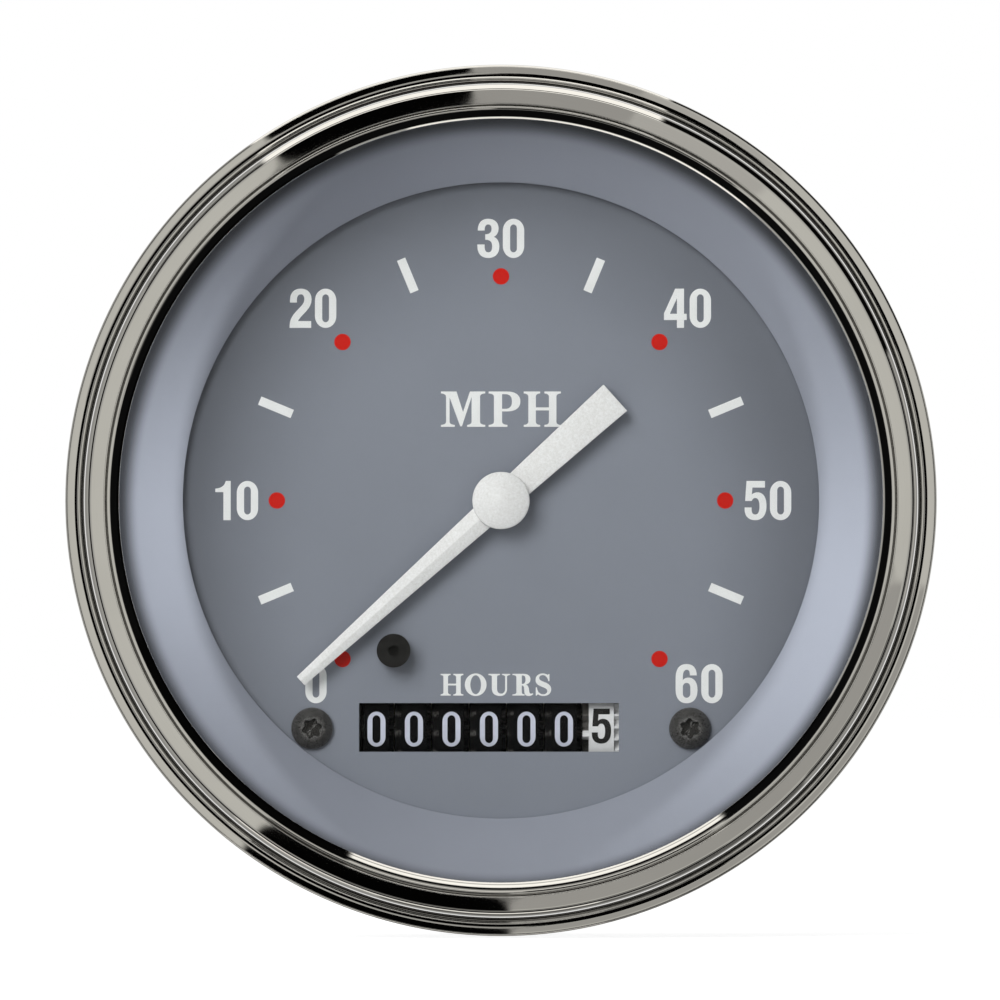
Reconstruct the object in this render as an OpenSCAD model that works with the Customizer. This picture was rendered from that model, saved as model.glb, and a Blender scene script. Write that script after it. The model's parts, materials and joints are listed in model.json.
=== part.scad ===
// Round dashboard speedometer with an hour counter.
// A stepped bright bezel holds the glass over a funnel-shaped visor and a painted dial.
// The balanced pointer turns on the spindle of a crossed-coil movement.
// Seven number drums, joined by transfer pinions, show through the window of the dial.
// Sizes are millimetres. The dial faces -Y and its top is +Z. The origin lies on the
// axis of the instrument, in the plane where the bezel meets the panel.

/* [Bezel] */
// Overhang of the rim outside the case, on each side
bezel_overhang = 4.5; // [4:0.1:9]
// Distance of the glass opening inside the case, on each side
opening_inset = 1.4; // [1.2:0.1:4]
// Wall outside the rolled seat
bezel_wall = 0.65; // [0.5:0.05:1]
// Thickness of the lip rolled behind the case flange
lip_t = 0.6; // [0.4:0.1:1.2]
// Height of the crown above the glass seat
crown_rise = 2; // [1.8:0.1:3]
// Radius of the bead round the outer rim
rim_bead_r = 0.8; // [0.7:0.05:0.9]
// Radius of the fine ridge inside the rim
ridge_r = 0.35; // [0.25:0.05:0.45]
// Radius of the outer shoulder of the crown
shoulder_r = 1.15; // [0.9:0.05:1.25]
// Radius of the inner edge of the crown
edge_r = 0.5; // [0.3:0.05:0.6]
// Radius of the bead that borders the glass
lip_bead_r = 0.4; // [0.3:0.05:0.45]

/* [Case] */
// Outside diameter, a sliding fit in the panel hole
case_d = 85; // [82:0.5:100]
// Sheet thickness of the wall and the back
case_wall = 0.8; // [0.6:0.1:1]
// Room between the circuit board and the back
rear_room = 7.2; // [6:0.2:20]
// Outside radius of the rear corner
case_corner_r = 2.5; // [1.5:0.5:5]
// Width of the front flange
flange_w = 1.8; // [1.5:0.1:2.2]
// Thickness of the front flange
flange_t = 0.8; // [0.6:0.1:1]

/* [Glass and seals] */
// Thickness of the glass
lens_t = 2; // [1:0.25:4]
// Thickness of each seal
seal_t = 0.4; // [0.3:0.1:1.2]
// Width of each seal
seal_w = 2; // [1:0.25:2.5]

/* [Visor ring] */
// Diameter of the clear circle at the dial
visor_d = 68.66; // [64:0.5:71]
// Height of its lower edge above the dial
visor_gap = 1.4; // [0.5:0.1:3]
// Width of the lower edge
visor_edge_w = 1.1; // [0.8:0.1:1.5]
// Thickness of the clamped flange
visor_flange_t = 0.7; // [0.5:0.1:1]

/* [Dial] */
// Diameter of the dial plate
dial_d = 72; // [70:0.5:76]
// Thickness of the dial plate
dial_t = 0.8; // [0.5:0.1:1.5]
// Depth of its face below the panel plane
dial_depth = 6.5; // [5:0.1:10]
// Height of the counter window
window_h = 5.26; // [4:0.02:7]
// Distance of the two dial screws from the upright axis
dial_screw_x = 20.4; // [19.6:0.1:22]
// Height of the two dial screws
dial_screw_y = -24.6; // [-26:0.1:-24]
// Diameter of a dial screw head
dial_head_d = 4.5; // [4:0.1:5.5]
// Diameter of the pointer stop
stop_d = 3.65; // [2.4:0.05:4.2]

/* [Pointer] */
// Length from the axis to the tip
pointer_tip = 29.1; // [24:0.1:33]
// Length from the axis to the end of the tail
pointer_tail = 16.6; // [12:0.2:24]
// Width of the blade at the hub
blade_w = 2.9; // [2.2:0.1:4]
// Width of the tip
tip_w = 1.24; // [0.4:0.04:2]
// Width of the end of the tail
tail_w = 3.82; // [2.6:0.02:5]
// Thickness of the blade at its edges
blade_t = 0.5; // [0.3:0.1:0.8]
// Diameter of the hub cap
cap_d = 6.2; // [5.6:0.1:9]
// Height of the hub cap
cap_h = 1.3; // [0.8:0.1:2]
// Angle of the pointer as it stands, anticlockwise from the right
pointer_rest = -138; // [-139:1:-135]

/* [Movement] */
// Room between the supporting plate and the case wall
plate_gap = 3.7; // [1:0.1:5]
// Thickness of the supporting plate
plate_t = 1.2; // [0.8:0.1:2]
// Distance between dial and plate
spacer_h = 2; // [1.4:0.1:3]
// Diameter of the steel can
can_d = 26; // [25.8:0.2:32]
// Depth of the steel can
can_h = 19.5; // [18.5:0.5:28]
// Sheet thickness of the can
can_wall = 0.6; // [0.4:0.1:0.6]
// Radius of the turning spindle
spindle_r = 0.75; // [0.5:0.05:1.1]
// Radius of the disc magnet
magnet_r = 6.5; // [4:0.1:6.9]
// Room between the can and the circuit board
board_gap = 7.4; // [6.6:0.2:12]

/* [Hour counter] */
// Distance between neighbouring drums
drum_pitch = 4.05; // [3.6:0.05:4.3]
// Radius of the number drums
drum_r = 7.6; // [7:0.1:8.2]
// Radius of the drum shaft
drum_shaft_r = 1.25; // [0.8:0.05:2.5]
// Radius of the pinion shaft
pinion_shaft_r = 0.8; // [0.5:0.05:1]
// Diameter of the drive motor
motor_d = 17; // [13:0.5:18]
// Length of the drive motor
motor_l = 7; // [5:0.5:10]

/* [Rear fittings] */
// Distance between the two mounting studs
stud_spacing = 50; // [45:0.5:55]
// Radius of the free end of a stud
stud_r = 2; // [1.8:0.1:3]
// Length of the free end of a stud
stud_l = 16; // [8:1:40]
// Width across the flats of the stud collar
collar_af = 7; // [6.5:0.5:9]
// Distance of the bulb holders from the upright axis
bulb_x = 17; // [12:0.5:20]
// Height of the bulb holders
bulb_y = 22; // [19:0.5:25]
// Length of a blade terminal outside the back
blade_l = 10; // [6:0.5:16]

/* [Hidden] */

// Clearances: pressed or screwed, running, and loose round a sheet edge
press_fit = 0.02;
run_fit = 0.05;
loose_fit = 0.15;

// Overrun of a cut past the faces that it opens
cut = 0.1;

// Radii of the bezel, the case and what the bezel clamps
case_r = case_d / 2;
bezel_r = case_r + bezel_overhang;
opening_r = case_r - opening_inset;
flange_r = case_r + flange_w;
cavity_r = flange_r + loose_fit;
wall_r = cavity_r + bezel_wall;
rim_c = bezel_r - rim_bead_r;
case_in_r = case_r - case_wall;
lip_gap = 0.8;
lip_r = case_r + lip_gap;
lens_play = 0.1;
lens_r = flange_r - lens_play;
seal_inset = 0.2;
seal_in_r = opening_r + seal_inset;
visor_guide_r = case_in_r - loose_fit;
inner_slope_w = 0.45;
ridge_side = 0.1;
ridge_rise = 0.15;
plate_r = case_in_r - plate_gap;
edge_c = opening_r + 2 * lip_bead_r + inner_slope_w + edge_r;

// Distance by which a pin or spigot stays below the face of its plate
flush = 0.1;

// Levels of the clamped stack, forward of the panel plane
z_flange0 = lip_t;
z_flange1 = z_flange0 + flange_t;
z_visor1 = z_flange1 + visor_flange_t;
z_lens0 = z_visor1 + seal_t;
z_lens1 = z_lens0 + lens_t;
z_lip = z_lens1 + seal_t;
z_crown = z_lip + crown_rise;

// Levels behind the panel plane
z_dial1 = -dial_depth;
z_dial0 = z_dial1 - dial_t;
z_plate1 = z_dial0 - spacer_h;
z_plate0 = z_plate1 - plate_t;
pillar_h = can_h + board_gap;
z_board1 = z_plate0 - pillar_h;
board_t = 1.6;
z_board0 = z_board1 - board_t;
z_back1 = z_board0 - rear_room;
z_back0 = z_back1 - case_wall;

// Pointer levels
pointer_gap = 1.6;
z_blade = z_dial1 + pointer_gap;
ridge_slope = 0.28;
crown_h = blade_t + ridge_slope * blade_w / 2;
z_hub = z_blade + crown_h;
hub_low = 1.2;
hub_r = 2;
cap_over = 0.15;
cap_point_r = 0.4;
spindle_lift = 1;
stop_x = -11.6;
stop_y = -16.2;
stop_rise = 1;
stop_shank_r = 1;
stop_socket_r = 0.65;
dial_hole_r = 2.6;
dial_screw_r = 1.25;
spacer_wall = 1.15;
screw_over = 0.8;
head_room = 0.6;
pad_x = 20;
pad_y = 25;
pad_r = 2.5;

// The tail is thick enough to balance the blade about the spindle
blade_moment = blade_t * moment(pointer_tip, blade_w, tip_w)
    + ridge_slope / 4 * square_moment(pointer_tip, blade_w, tip_w);
tail_t = blade_moment / moment(pointer_tail, blade_w, tail_w);

// Movement: the bobbin halves meet in the middle of the magnet chamber
bobbin_r = 8;
cap_t = 1;
chamber_r = 7.2;
coil_t = 1.4;
coil_in = bobbin_r + flush;
coil_out = coil_in + coil_t;
coil_near = 3.1;
coil_w = 2.4;
boss_r = 2.8;
base_t = 0.7;
z_coil1 = z_plate0 - base_t;
z_cap1 = z_coil1 - 2 * coil_t;
z_can0 = z_plate0 - can_h;
z_can1 = z_can0 + can_wall;
z_coil0 = z_can1 + base_t;
z_cap0 = z_coil0 + 2 * coil_t;
z_mid = (z_cap1 + z_cap0) / 2;
can_in_r = can_d / 2 - can_wall;
base_r = can_in_r - loose_fit;
bush_r = 1.8;
bush_l = 3.4;
magnet_t = 4;
corner = 7.3;
screw_boss_r = 1.6;
boss_tap = 4;
boss_spare = 0.4;
boss_floor = 0.5;
movement_screw_r = 0.95;
movement_head_r = 1.9;
pin_r = 0.35;
pin_hole_r = 0.9;
pin_over = 0.6;
spindle_room = 0.3;
bush_floor = 0.9;

// Involute teeth with short tips and room to run
pressure = 28;
addendum = 0.8;
dedendum = 1;
tooth_thin = 0.06;
flank_steps = 2;

// Counter: the drum axis lies just behind the window
window_x = -1.3;
window_y = -24.5;
drums = 7;
window_trim = 0.3;
window_w = drums * drum_pitch - window_trim;
drum_gap = 0.35;
counter_z = z_dial0 - drum_gap - drum_r;
drum_teeth = 20;
pinion_teeth = 8;
drive_teeth = 36;
idler_teeth = 10;
second_teeth = 30;
motor_teeth = 10;
mesh_play = 0.06;
count_drop = 0.47;
drive_drop = 0.08;
count_tip_r = drum_r - count_drop;
count_m = count_tip_r / (drum_teeth / 2 + addendum);
drive_tip_r = drum_r - drive_drop;
drive_m = drive_tip_r / (drive_teeth / 2 + addendum);
pinion_tip_r = count_m * (pinion_teeth / 2 + addendum);
pinion_dist = count_m * (drum_teeth + pinion_teeth) / 2 + mesh_play;
idler_dist = drive_m * (drive_teeth + idler_teeth) / 2 + mesh_play;
motor_dist = drive_m * (second_teeth + motor_teeth) / 2 + mesh_play;
idler_dir = 50;
motor_dir = -19;
gear_w = 0.5;
carry_w = 0.7;
drive_w = 0.8;
end_play = 0.15;
side_play = 0.08;
cheek_play = 0.25;
band_w = drum_pitch - gear_w - carry_w - end_play;
digits_shown = [0, 0, 0, 0, 0, 0, 4.93];
sleeve_gap = 0.3;
pinion_hub_r = pinion_dist - drum_r - sleeve_gap;
idler_shaft_r = 1;
idler_collar_r = 1.4;
idler_hub_r = 2;
idler_hub_h = 0.4;
motor_shaft_r = 0.75;
shaft_in = 2.25;
bearing_l = 3;
cheek_t = 1;
cheek_l = drum_x(0) - band_w / 2 - cheek_play;
cheek_r = drum_x(drums - 1) + band_w / 2 + drive_w + cheek_play;
web_half = 5;
web_gap = 2.5;
web_x = pinion_dist + pinion_tip_r + web_gap;
notch_side = 1.5;
notch_gap = 0.5;
notch_top = window_y + sqrt(pow(drum_r, 2) - pow(z_plate0 - counter_z, 2)) + notch_gap;
motor_gap = 2.6;
motor_screw_r = 0.9;
motor_head_r = 1.7;
motor_head_h = 0.9;
motor_post_r = 1.6;
motor_post_in = 0.5;
motor_screw_in = 1;
motor_edge = 1.5;
motor_pcd_r = motor_d / 2 - motor_edge;
motor_turn = 90;
frame_screw_r = 1.2;
frame_head_r = 2.1;
foot_l = 5.6;
foot_w = 4.4;
foot_y = window_y + 2.6;
foot_screw_x = 3.4;
frame_screw_y = window_y + 5;
frame_screw_l = cheek_l - cheek_t - foot_screw_x;
frame_screw_rt = cheek_r + cheek_t + foot_screw_x;
shaft_over = 0.6;
boss_edge_r = 2.8;
idler_over = 1.6;

// Fixings and rear fittings
pillar_r = 3;
pillar_screw_r = 1.48;
pillar_head_r = 2.7;
tap_depth = 9;
tap_spare = 1;
stud_root_r = 1.6;
stud_x = stud_spacing / 2;
washer_t = 0.8;
collar_h = 3;
washer_r = 5;
board_x = 31;
board_y = 13.5;
board_corner_r = 3;
capacitor_x = 18;
capacitor_y = 8.5;
capacitor_r = 2.5;
capacitor_h = 6;
chip_x = -17;
chip_y = 7;
regulator_x = -21;
regulator_y = -8.5;
tag_slot_w = 1.4;
tag_slot_h = 1;
tag_w = 1.2;
block_x = 14.5;
block_y = 3.5;
block_flange_w = 2;
block_play = 0.2;
blade_pitch = 7;
blade_w_out = 4.8;
blade_thick = 0.8;
holder_r = 4.5;
holder_flange_r = 6.2;
holder_inside = 4;
bulb_r = 2.6;
bulb_base_r = 2.08;

// Quality of curved faces
$fn = 48;
round_fn = 120;

// First moment about x = 0 of a strip whose width runs from w0 to w1, and of its square.
function moment(l, w0, w1) = pow(l, 2) * (w0 / 2 + (w1 - w0) / 3);
function square_moment(l, w0, w1) =
    pow(l, 2) * (w0 * w0 / 2 + w0 * (w1 - w0) * 2 / 3 + pow(w1 - w0, 2) / 4);

// A point by radius and angle.
function polar(r, a) = [r * cos(a), r * sin(a)];

// Involute of an angle, in degrees.
function inv(a) = tan(a) * 180 / PI - a;

// Half the angle that a tooth of an n-tooth gear of module m takes up at radius r.
function tooth_half(n, m, r) =
    let (pitch_r = n * m / 2, base = pitch_r * cos(pressure))
    90 / n - tooth_thin / 2 / pitch_r * 180 / PI + inv(pressure)
        - (r > base ? inv(acos(base / r)) : 0);

// Radii at which a flank is drawn, from root to tip.
function flank_radii(n, m) =
    let (pitch_r = n * m / 2, base = pitch_r * cos(pressure),
         root = pitch_r - dedendum * m, tip = pitch_r + addendum * m,
         start = max(base, root))
    concat(root < base - 0.01 ? [root] : [],
           [for (k = [0:flank_steps]) start + (tip - start) * k / flank_steps]);

// Outline of a gear with a tooth on the angle 0.
function gear_points(n, m) =
    let (radii = flank_radii(n, m), last = len(radii) - 1)
    [for (i = [0:n - 1], k = [0:2 * last + 1])
        k <= last
            ? polar(radii[k], i * 360 / n - tooth_half(n, m, radii[k]))
            : polar(radii[2 * last + 1 - k], i * 360 / n + tooth_half(n, m, radii[2 * last + 1 - k]))];

// Place of a drum along the shaft, counted from the left.
function drum_x(i) = window_x + (i - (drums - 1) / 2) * drum_pitch;

// Turns the front of the instrument, drawn upwards, to face -Y.
module facing() {
    rotate([90, 0, 0])
        children();
}

// Moves to the drum axis at x; the drawn z runs along the shaft and x points backwards.
module on_counter(x, dist = 0, dir = 0) {
    facing()
        translate([x, window_y, counter_z])
            rotate([0, 90, 0])
                translate([dist * cos(dir), dist * sin(dir), 0])
                    children();
}

// From the idler axis on to the motor axis.
module on_motor(x) {
    on_counter(x, idler_dist, idler_dir)
        translate([motor_dist * cos(motor_dir), motor_dist * sin(motor_dir), 0])
            children();
}

module tube(r_out, r_in, h) {
    difference() {
        cylinder(r = r_out, h = h);
        translate([0, 0, -cut])
            cylinder(r = r_in, h = h + 2 * cut);
    }
}

// Low round screw: head with a bevelled top above the plane, shank below.
module screw(head_r, head_h, shank_r, shank_l) {
    side_h = head_h * 0.6;
    top_r = head_r * 0.7;
    translate([0, 0, -shank_l])
        cylinder(r = shank_r, h = shank_l);
    cylinder(r = head_r, h = side_h);
    translate([0, 0, side_h])
        cylinder(r1 = head_r, r2 = top_r, h = head_h - side_h);
}

module gear(n, m, w) {
    linear_extrude(w)
        polygon(gear_points(n, m));
}

module rounded_rect(half_x, half_y, r) {
    square([2 * half_x - 2 * r, 2 * half_y], center = true);
    square([2 * half_x, 2 * half_y - 2 * r], center = true);
    for (sx = [-1, 1], sy = [-1, 1])
        translate([sx * (half_x - r), sy * (half_y - r)])
            circle(r = r);
}

// Front: bezel, glass and visor

module bezel_section() {
    difference() {
        union() {
            polygon([
                [lip_r, 0], [rim_c, 0], [rim_c, 2 * rim_bead_r], [wall_r, 2 * rim_bead_r],
                [wall_r, z_crown - shoulder_r], [wall_r - shoulder_r, z_crown],
                [edge_c, z_crown], [edge_c - edge_r, z_crown - edge_r],
                [opening_r + lip_bead_r, z_lip + 2 * lip_bead_r],
                [opening_r + lip_bead_r, z_lip], [lip_r, z_lip]
            ]);
            translate([rim_c, rim_bead_r])
                circle(r = rim_bead_r);
            translate([wall_r + ridge_r + ridge_side, 2 * rim_bead_r + ridge_rise])
                circle(r = ridge_r);
            translate([wall_r - shoulder_r, z_crown - shoulder_r])
                circle(r = shoulder_r);
            translate([edge_c, z_crown - edge_r])
                circle(r = edge_r);
            translate([opening_r + lip_bead_r, z_lip + lip_bead_r])
                circle(r = lip_bead_r);
        }
        translate([0, z_flange0])
            square([cavity_r, z_lip - z_flange0]);
    }
}

module bezel() {
    color("silver")
        facing()
            rotate_extrude($fn = round_fn)
                bezel_section();
}

module seal(z) {
    color("dimgray")
        facing()
            translate([0, 0, z])
                difference() {
                    cylinder(r = seal_in_r + seal_w, h = seal_t, $fn = round_fn);
                    translate([0, 0, -cut])
                        cylinder(r = seal_in_r, h = seal_t + 2 * cut, $fn = round_fn);
                }
}

module front_seal() {
    seal(z_lens1);
}

module rear_seal() {
    seal(z_visor1);
}

module lens() {
    color("lightcyan", 0.4)
        facing()
            translate([0, 0, z_lens0])
                cylinder(r = lens_r, h = lens_t, $fn = round_fn);
}

module visor_ring() {
    guide_l = 1;
    z_low = z_dial1 + visor_gap;
    color("lightsteelblue")
        facing()
            rotate_extrude($fn = round_fn)
                polygon([
                    [opening_r, z_visor1], [flange_r - loose_fit, z_visor1],
                    [flange_r - loose_fit, z_flange1], [visor_guide_r, z_flange1],
                    [visor_guide_r, z_flange1 - guide_l],
                    [visor_d / 2 + visor_edge_w, z_low], [visor_d / 2, z_low]
                ]);
}

// Dial with its screws and the stop of the pointer

module dial() {
    color("slategray")
        facing()
            translate([0, 0, z_dial0])
                difference() {
                    cylinder(r = dial_d / 2, h = dial_t, $fn = round_fn);
                    translate([0, 0, -cut])
                        cylinder(r = dial_hole_r, h = dial_t + 2 * cut);
                    translate([window_x - window_w / 2, window_y - window_h / 2, -cut])
                        cube([window_w, window_h, dial_t + 2 * cut]);
                    for (sx = [-1, 1])
                        translate([sx * dial_screw_x, dial_screw_y, -cut])
                            cylinder(r = dial_screw_r + loose_fit, h = dial_t + 2 * cut);
                    translate([stop_x, stop_y, -cut])
                        cylinder(r = stop_shank_r + run_fit, h = dial_t + 2 * cut);
                }
}

module dial_screws() {
    head_h = 1.3;
    side_h = head_h * 0.4;
    dome_r = dial_head_d / 2;
    top_r = dome_r * 0.68;
    shank_l = dial_t + spacer_h + plate_t + screw_over;
    lobe_r = 0.95;
    lobe_share = 0.16;
    recess_h = 0.8;
    color("dimgray")
        facing()
            for (sx = [-1, 1])
                translate([sx * dial_screw_x, dial_screw_y, z_dial1])
                    difference() {
                        union() {
                            translate([0, 0, -shank_l])
                                cylinder(r = dial_screw_r, h = shank_l);
                            cylinder(r = dome_r, h = side_h);
                            translate([0, 0, side_h])
                                cylinder(r1 = dome_r, r2 = top_r, h = head_h - side_h);
                        }
                        translate([0, 0, head_h - recess_h])
                            linear_extrude(recess_h + cut)
                                polygon([for (a = [0:10:350])
                                    polar(lobe_r * (1 + lobe_share * cos(6 * a)), a)]);
                    }
}

module dial_spacers() {
    color("silver")
        facing()
            for (sx = [-1, 1])
                translate([sx * dial_screw_x, dial_screw_y, z_plate1])
                    tube(dial_screw_r + spacer_wall, dial_screw_r + loose_fit, spacer_h);
}

module pointer_stop() {
    color("dimgray")
        facing()
            translate([stop_x, stop_y, 0])
                difference() {
                    union() {
                        translate([0, 0, z_dial1])
                            cylinder(r = stop_d / 2, h = pointer_gap + stop_rise);
                        translate([0, 0, z_plate0 + flush])
                            cylinder(r = stop_shank_r, h = z_dial1 - z_plate0);
                    }
                    translate([0, 0, z_dial1 + pointer_gap])
                        cylinder(r = stop_socket_r, h = stop_rise + cut, $fn = 6);
                }
}

// Pointer and the parts that turn with it

// Tapered bar with a roof ridge, from x = 0 to the given length.
module ridged_blade(length, w0, w1) {
    h0 = blade_t + ridge_slope * w0 / 2;
    h1 = blade_t + ridge_slope * w1 / 2;
    polyhedron(
        points = [
            [0, -w0 / 2, 0], [0, w0 / 2, 0], [0, w0 / 2, blade_t], [0, 0, h0], [0, -w0 / 2, blade_t],
            [length, -w1 / 2, 0], [length, w1 / 2, 0], [length, w1 / 2, blade_t],
            [length, 0, h1], [length, -w1 / 2, blade_t]
        ],
        faces = [
            [0, 1, 2, 3, 4], [9, 8, 7, 6, 5], [1, 0, 5, 6], [2, 1, 6, 7], [3, 2, 7, 8],
            [4, 3, 8, 9], [0, 4, 9, 5]
        ]
    );
}

module pointer() {
    color("ivory")
        facing()
            translate([0, 0, z_blade])
                difference() {
                    union() {
                        rotate(pointer_rest) {
                            ridged_blade(pointer_tip, blade_w, tip_w);
                            translate([0, 0, blade_t - tail_t])
                                linear_extrude(tail_t)
                                    polygon([
                                        [0, -blade_w / 2], [0, blade_w / 2],
                                        [-pointer_tail, tail_w / 2], [-pointer_tail, -tail_w / 2]
                                    ]);
                        }
                        cylinder(r = cap_d / 2 - cap_over, h = crown_h);
                        translate([0, 0, -hub_low])
                            cylinder(r = hub_r, h = hub_low);
                    }
                    translate([0, 0, -hub_low - cut])
                        cylinder(r = spindle_r + press_fit, h = hub_low + crown_h + 2 * cut);
                }
}

module pointer_cap() {
    rim_h = 0.4;
    color("ivory")
        facing()
            translate([0, 0, z_hub]) {
                cylinder(r = cap_d / 2, h = rim_h);
                translate([0, 0, rim_h])
                    cylinder(r1 = cap_d / 2, r2 = cap_point_r, h = cap_h - rim_h);
            }
}

module pointer_spindle() {
    color("silver")
        facing()
            translate([0, 0, z_can1 + spindle_lift])
                cylinder(r = spindle_r, h = z_hub - z_can1 - spindle_lift);
}

module rotor_magnet() {
    color("dimgray")
        facing()
            translate([0, 0, z_mid - magnet_t / 2])
                tube(magnet_r, spindle_r + press_fit, magnet_t);
}

// Movement behind the dial

module movement_plate() {
    notch_w = cheek_r - cheek_l + 2 * notch_side;
    color("tan")
        facing() {
            translate([0, 0, z_plate0])
                difference() {
                    cylinder(r = plate_r, h = plate_t, $fn = round_fn);
                    translate([0, 0, -cut])
                        cylinder(r = boss_r + run_fit, h = plate_t + 2 * cut);
                    translate([cheek_l - notch_side, -2 * plate_r, -cut])
                        cube([notch_w, 2 * plate_r + notch_top, plate_t + 2 * cut]);
                    for (sx = [-1, 1]) {
                        translate([sx * stud_x, 0, -cut])
                            cylinder(r = pillar_screw_r + run_fit, h = plate_t + 2 * cut);
                        translate([sx * dial_screw_x, dial_screw_y, -cut])
                            cylinder(r = dial_screw_r + run_fit, h = plate_t + 2 * cut);
                        translate([sx * corner, sx * corner, -cut])
                            cylinder(r = movement_screw_r + run_fit, h = plate_t + 2 * cut);
                    }
                    for (x = [frame_screw_l, frame_screw_rt])
                        translate([x, frame_screw_y, -cut])
                            cylinder(r = frame_screw_r + run_fit, h = plate_t + 2 * cut);
                    translate([stop_x, stop_y, -cut])
                        cylinder(r = stop_shank_r + run_fit, h = plate_t + 2 * cut);
                }
            // Two embossed rests for the upper half of the dial
            for (sx = [-1, 1])
                translate([sx * pad_x, pad_y, z_plate1 - cut])
                    cylinder(r = pad_r, h = spacer_h + cut);
        }
}

module frame_pillars() {
    color("silver")
        facing()
            for (sx = [-1, 1])
                translate([sx * stud_x, 0, z_board1])
                    difference() {
                        cylinder(r = pillar_r, h = pillar_h);
                        translate([0, 0, pillar_h - tap_depth])
                            cylinder(r = pillar_screw_r + press_fit, h = tap_depth + cut);
                        translate([0, 0, -cut])
                            cylinder(r = stud_root_r + press_fit, h = tap_depth + cut);
                    }
}

module pillar_screws() {
    shank_l = plate_t + tap_depth - tap_spare;
    color("silver")
        facing()
            for (sx = [-1, 1])
                translate([sx * stud_x, 0, z_plate1])
                    screw(pillar_head_r, spacer_h - head_room, pillar_screw_r, shank_l);
}

module movement_can() {
    color("lightgray")
        facing()
            translate([0, 0, z_can0])
                difference() {
                    cylinder(r = can_d / 2, h = can_h, $fn = 72);
                    translate([0, 0, can_wall])
                        cylinder(r = can_in_r, h = can_h, $fn = 72);
                    for (sx = [-1, 1], sy = [-1, 1])
                        translate([sx * corner, sy * corner, -cut])
                            cylinder(r = pin_hole_r, h = can_wall + 2 * cut);
                }
}

// One half of the coil former: base disc, bearing boss and half of the magnet chamber.
// Drawn with the base disc on the plane 0 and the chamber above it.
module bobbin_half(chamber_l) {
    cap_z = base_t + 2 * coil_t;
    difference() {
        union() {
            cylinder(r = base_r, h = base_t, $fn = 72);
            cylinder(r = boss_r, h = cap_z + cap_t);
            translate([0, 0, cap_z])
                cylinder(r = bobbin_r, h = chamber_l);
            children();
        }
        translate([0, 0, cap_z + cap_t])
            cylinder(r = chamber_r, h = chamber_l);
        translate([0, 0, bush_l])
            cylinder(r = spindle_r + spindle_room, h = cap_z + cap_t);
        translate([0, 0, -plate_t])
            cylinder(r = bush_r + press_fit, h = plate_t + bush_l);
    }
}

module bobbin_front() {
    spigot_h = plate_t - flush;
    color("beige")
        facing()
            difference() {
                translate([0, 0, z_plate0])
                    mirror([0, 0, 1])
                        bobbin_half(z_cap1 - z_mid) {
                            translate([0, 0, -spigot_h])
                                cylinder(r = boss_r, h = spigot_h);
                            for (s = [-1, 1])
                                translate([s * corner, s * corner, 0])
                                    cylinder(r = screw_boss_r, h = boss_tap + boss_floor);
                        }
                for (s = [-1, 1])
                    translate([s * corner, s * corner, z_plate0 - boss_tap])
                        cylinder(r = movement_screw_r + press_fit, h = boss_tap + cut);
            }
}

module bobbin_rear() {
    color("beige")
        facing()
            difference() {
                translate([0, 0, z_can1])
                    bobbin_half(z_mid - z_cap0);
                for (sx = [-1, 1], sy = [-1, 1])
                    translate([sx * corner, sy * corner, z_can1 - cut])
                        cylinder(r = pin_r + press_fit, h = base_t + 2 * cut);
            }
}

// Two flat loops, one on each side of the spindle, wound round the former.
module coil(in_half, out_half, z_in0, z_in1) {
    for (s = [-1, 1])
        translate([0, s * (coil_near + coil_w / 2), 0])
            difference() {
                translate([-out_half, -coil_w / 2, z_in0 - coil_t])
                    cube([2 * out_half, coil_w, z_in1 - z_in0 + 2 * coil_t]);
                translate([-in_half, -coil_w / 2 - cut, z_in0])
                    cube([2 * in_half, coil_w + 2 * cut, z_in1 - z_in0]);
            }
}

module inner_coil() {
    color("peru")
        facing()
            coil(coil_in, coil_out, z_cap0, z_cap1);
}

module outer_coil() {
    color("chocolate")
        facing()
            rotate(90)
                coil(coil_in, coil_out, z_cap0 - coil_t, z_cap1 + coil_t);
}

module front_bush() {
    color("goldenrod")
        facing()
            translate([0, 0, z_plate0 - bush_l])
                tube(bush_r, spindle_r + run_fit, bush_l + plate_t - flush);
}

module rear_bush() {
    color("goldenrod")
        facing()
            translate([0, 0, z_can1])
                difference() {
                    cylinder(r = bush_r, h = bush_l);
                    translate([0, 0, bush_floor])
                        cylinder(r = spindle_r + run_fit, h = bush_l);
                }
}

module movement_screws() {
    shank_l = plate_t + boss_tap - boss_spare;
    color("silver")
        facing()
            for (s = [-1, 1])
                translate([s * corner, s * corner, z_plate1])
                    screw(movement_head_r, spacer_h - head_room, movement_screw_r, shank_l);
}

module movement_pins() {
    color("silver")
        facing()
            for (sx = [-1, 1], sy = [-1, 1])
                translate([sx * corner, sy * corner, z_board0 - pin_over])
                    cylinder(r = pin_r, h = z_can1 + base_t - z_board0 + pin_over);
}

// Circuit board and what it carries

module circuit_board() {
    color("darkgreen")
        facing()
            translate([0, 0, z_board0])
                difference() {
                    linear_extrude(board_t)
                        rounded_rect(board_x, board_y, board_corner_r);
                    for (sx = [-1, 1]) {
                        translate([sx * stud_x, 0, -cut])
                            cylinder(r = stud_root_r + run_fit, h = board_t + 2 * cut);
                        for (sy = [-1, 1])
                            translate([sx * corner, sy * corner, -cut])
                                cylinder(r = pin_r + run_fit, h = board_t + 2 * cut);
                    }
                    for (i = [-1.5:1:1.5])
                        translate([i * blade_pitch - tag_slot_w / 2, -tag_slot_h / 2, -cut])
                            cube([tag_slot_w, tag_slot_h, board_t + 2 * cut]);
                }
}

module capacitors() {
    color("midnightblue")
        facing()
            for (s = [-1, 1])
                translate([capacitor_x, s * capacitor_y, z_board1])
                    cylinder(r = capacitor_r, h = capacitor_h);
}

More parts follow.
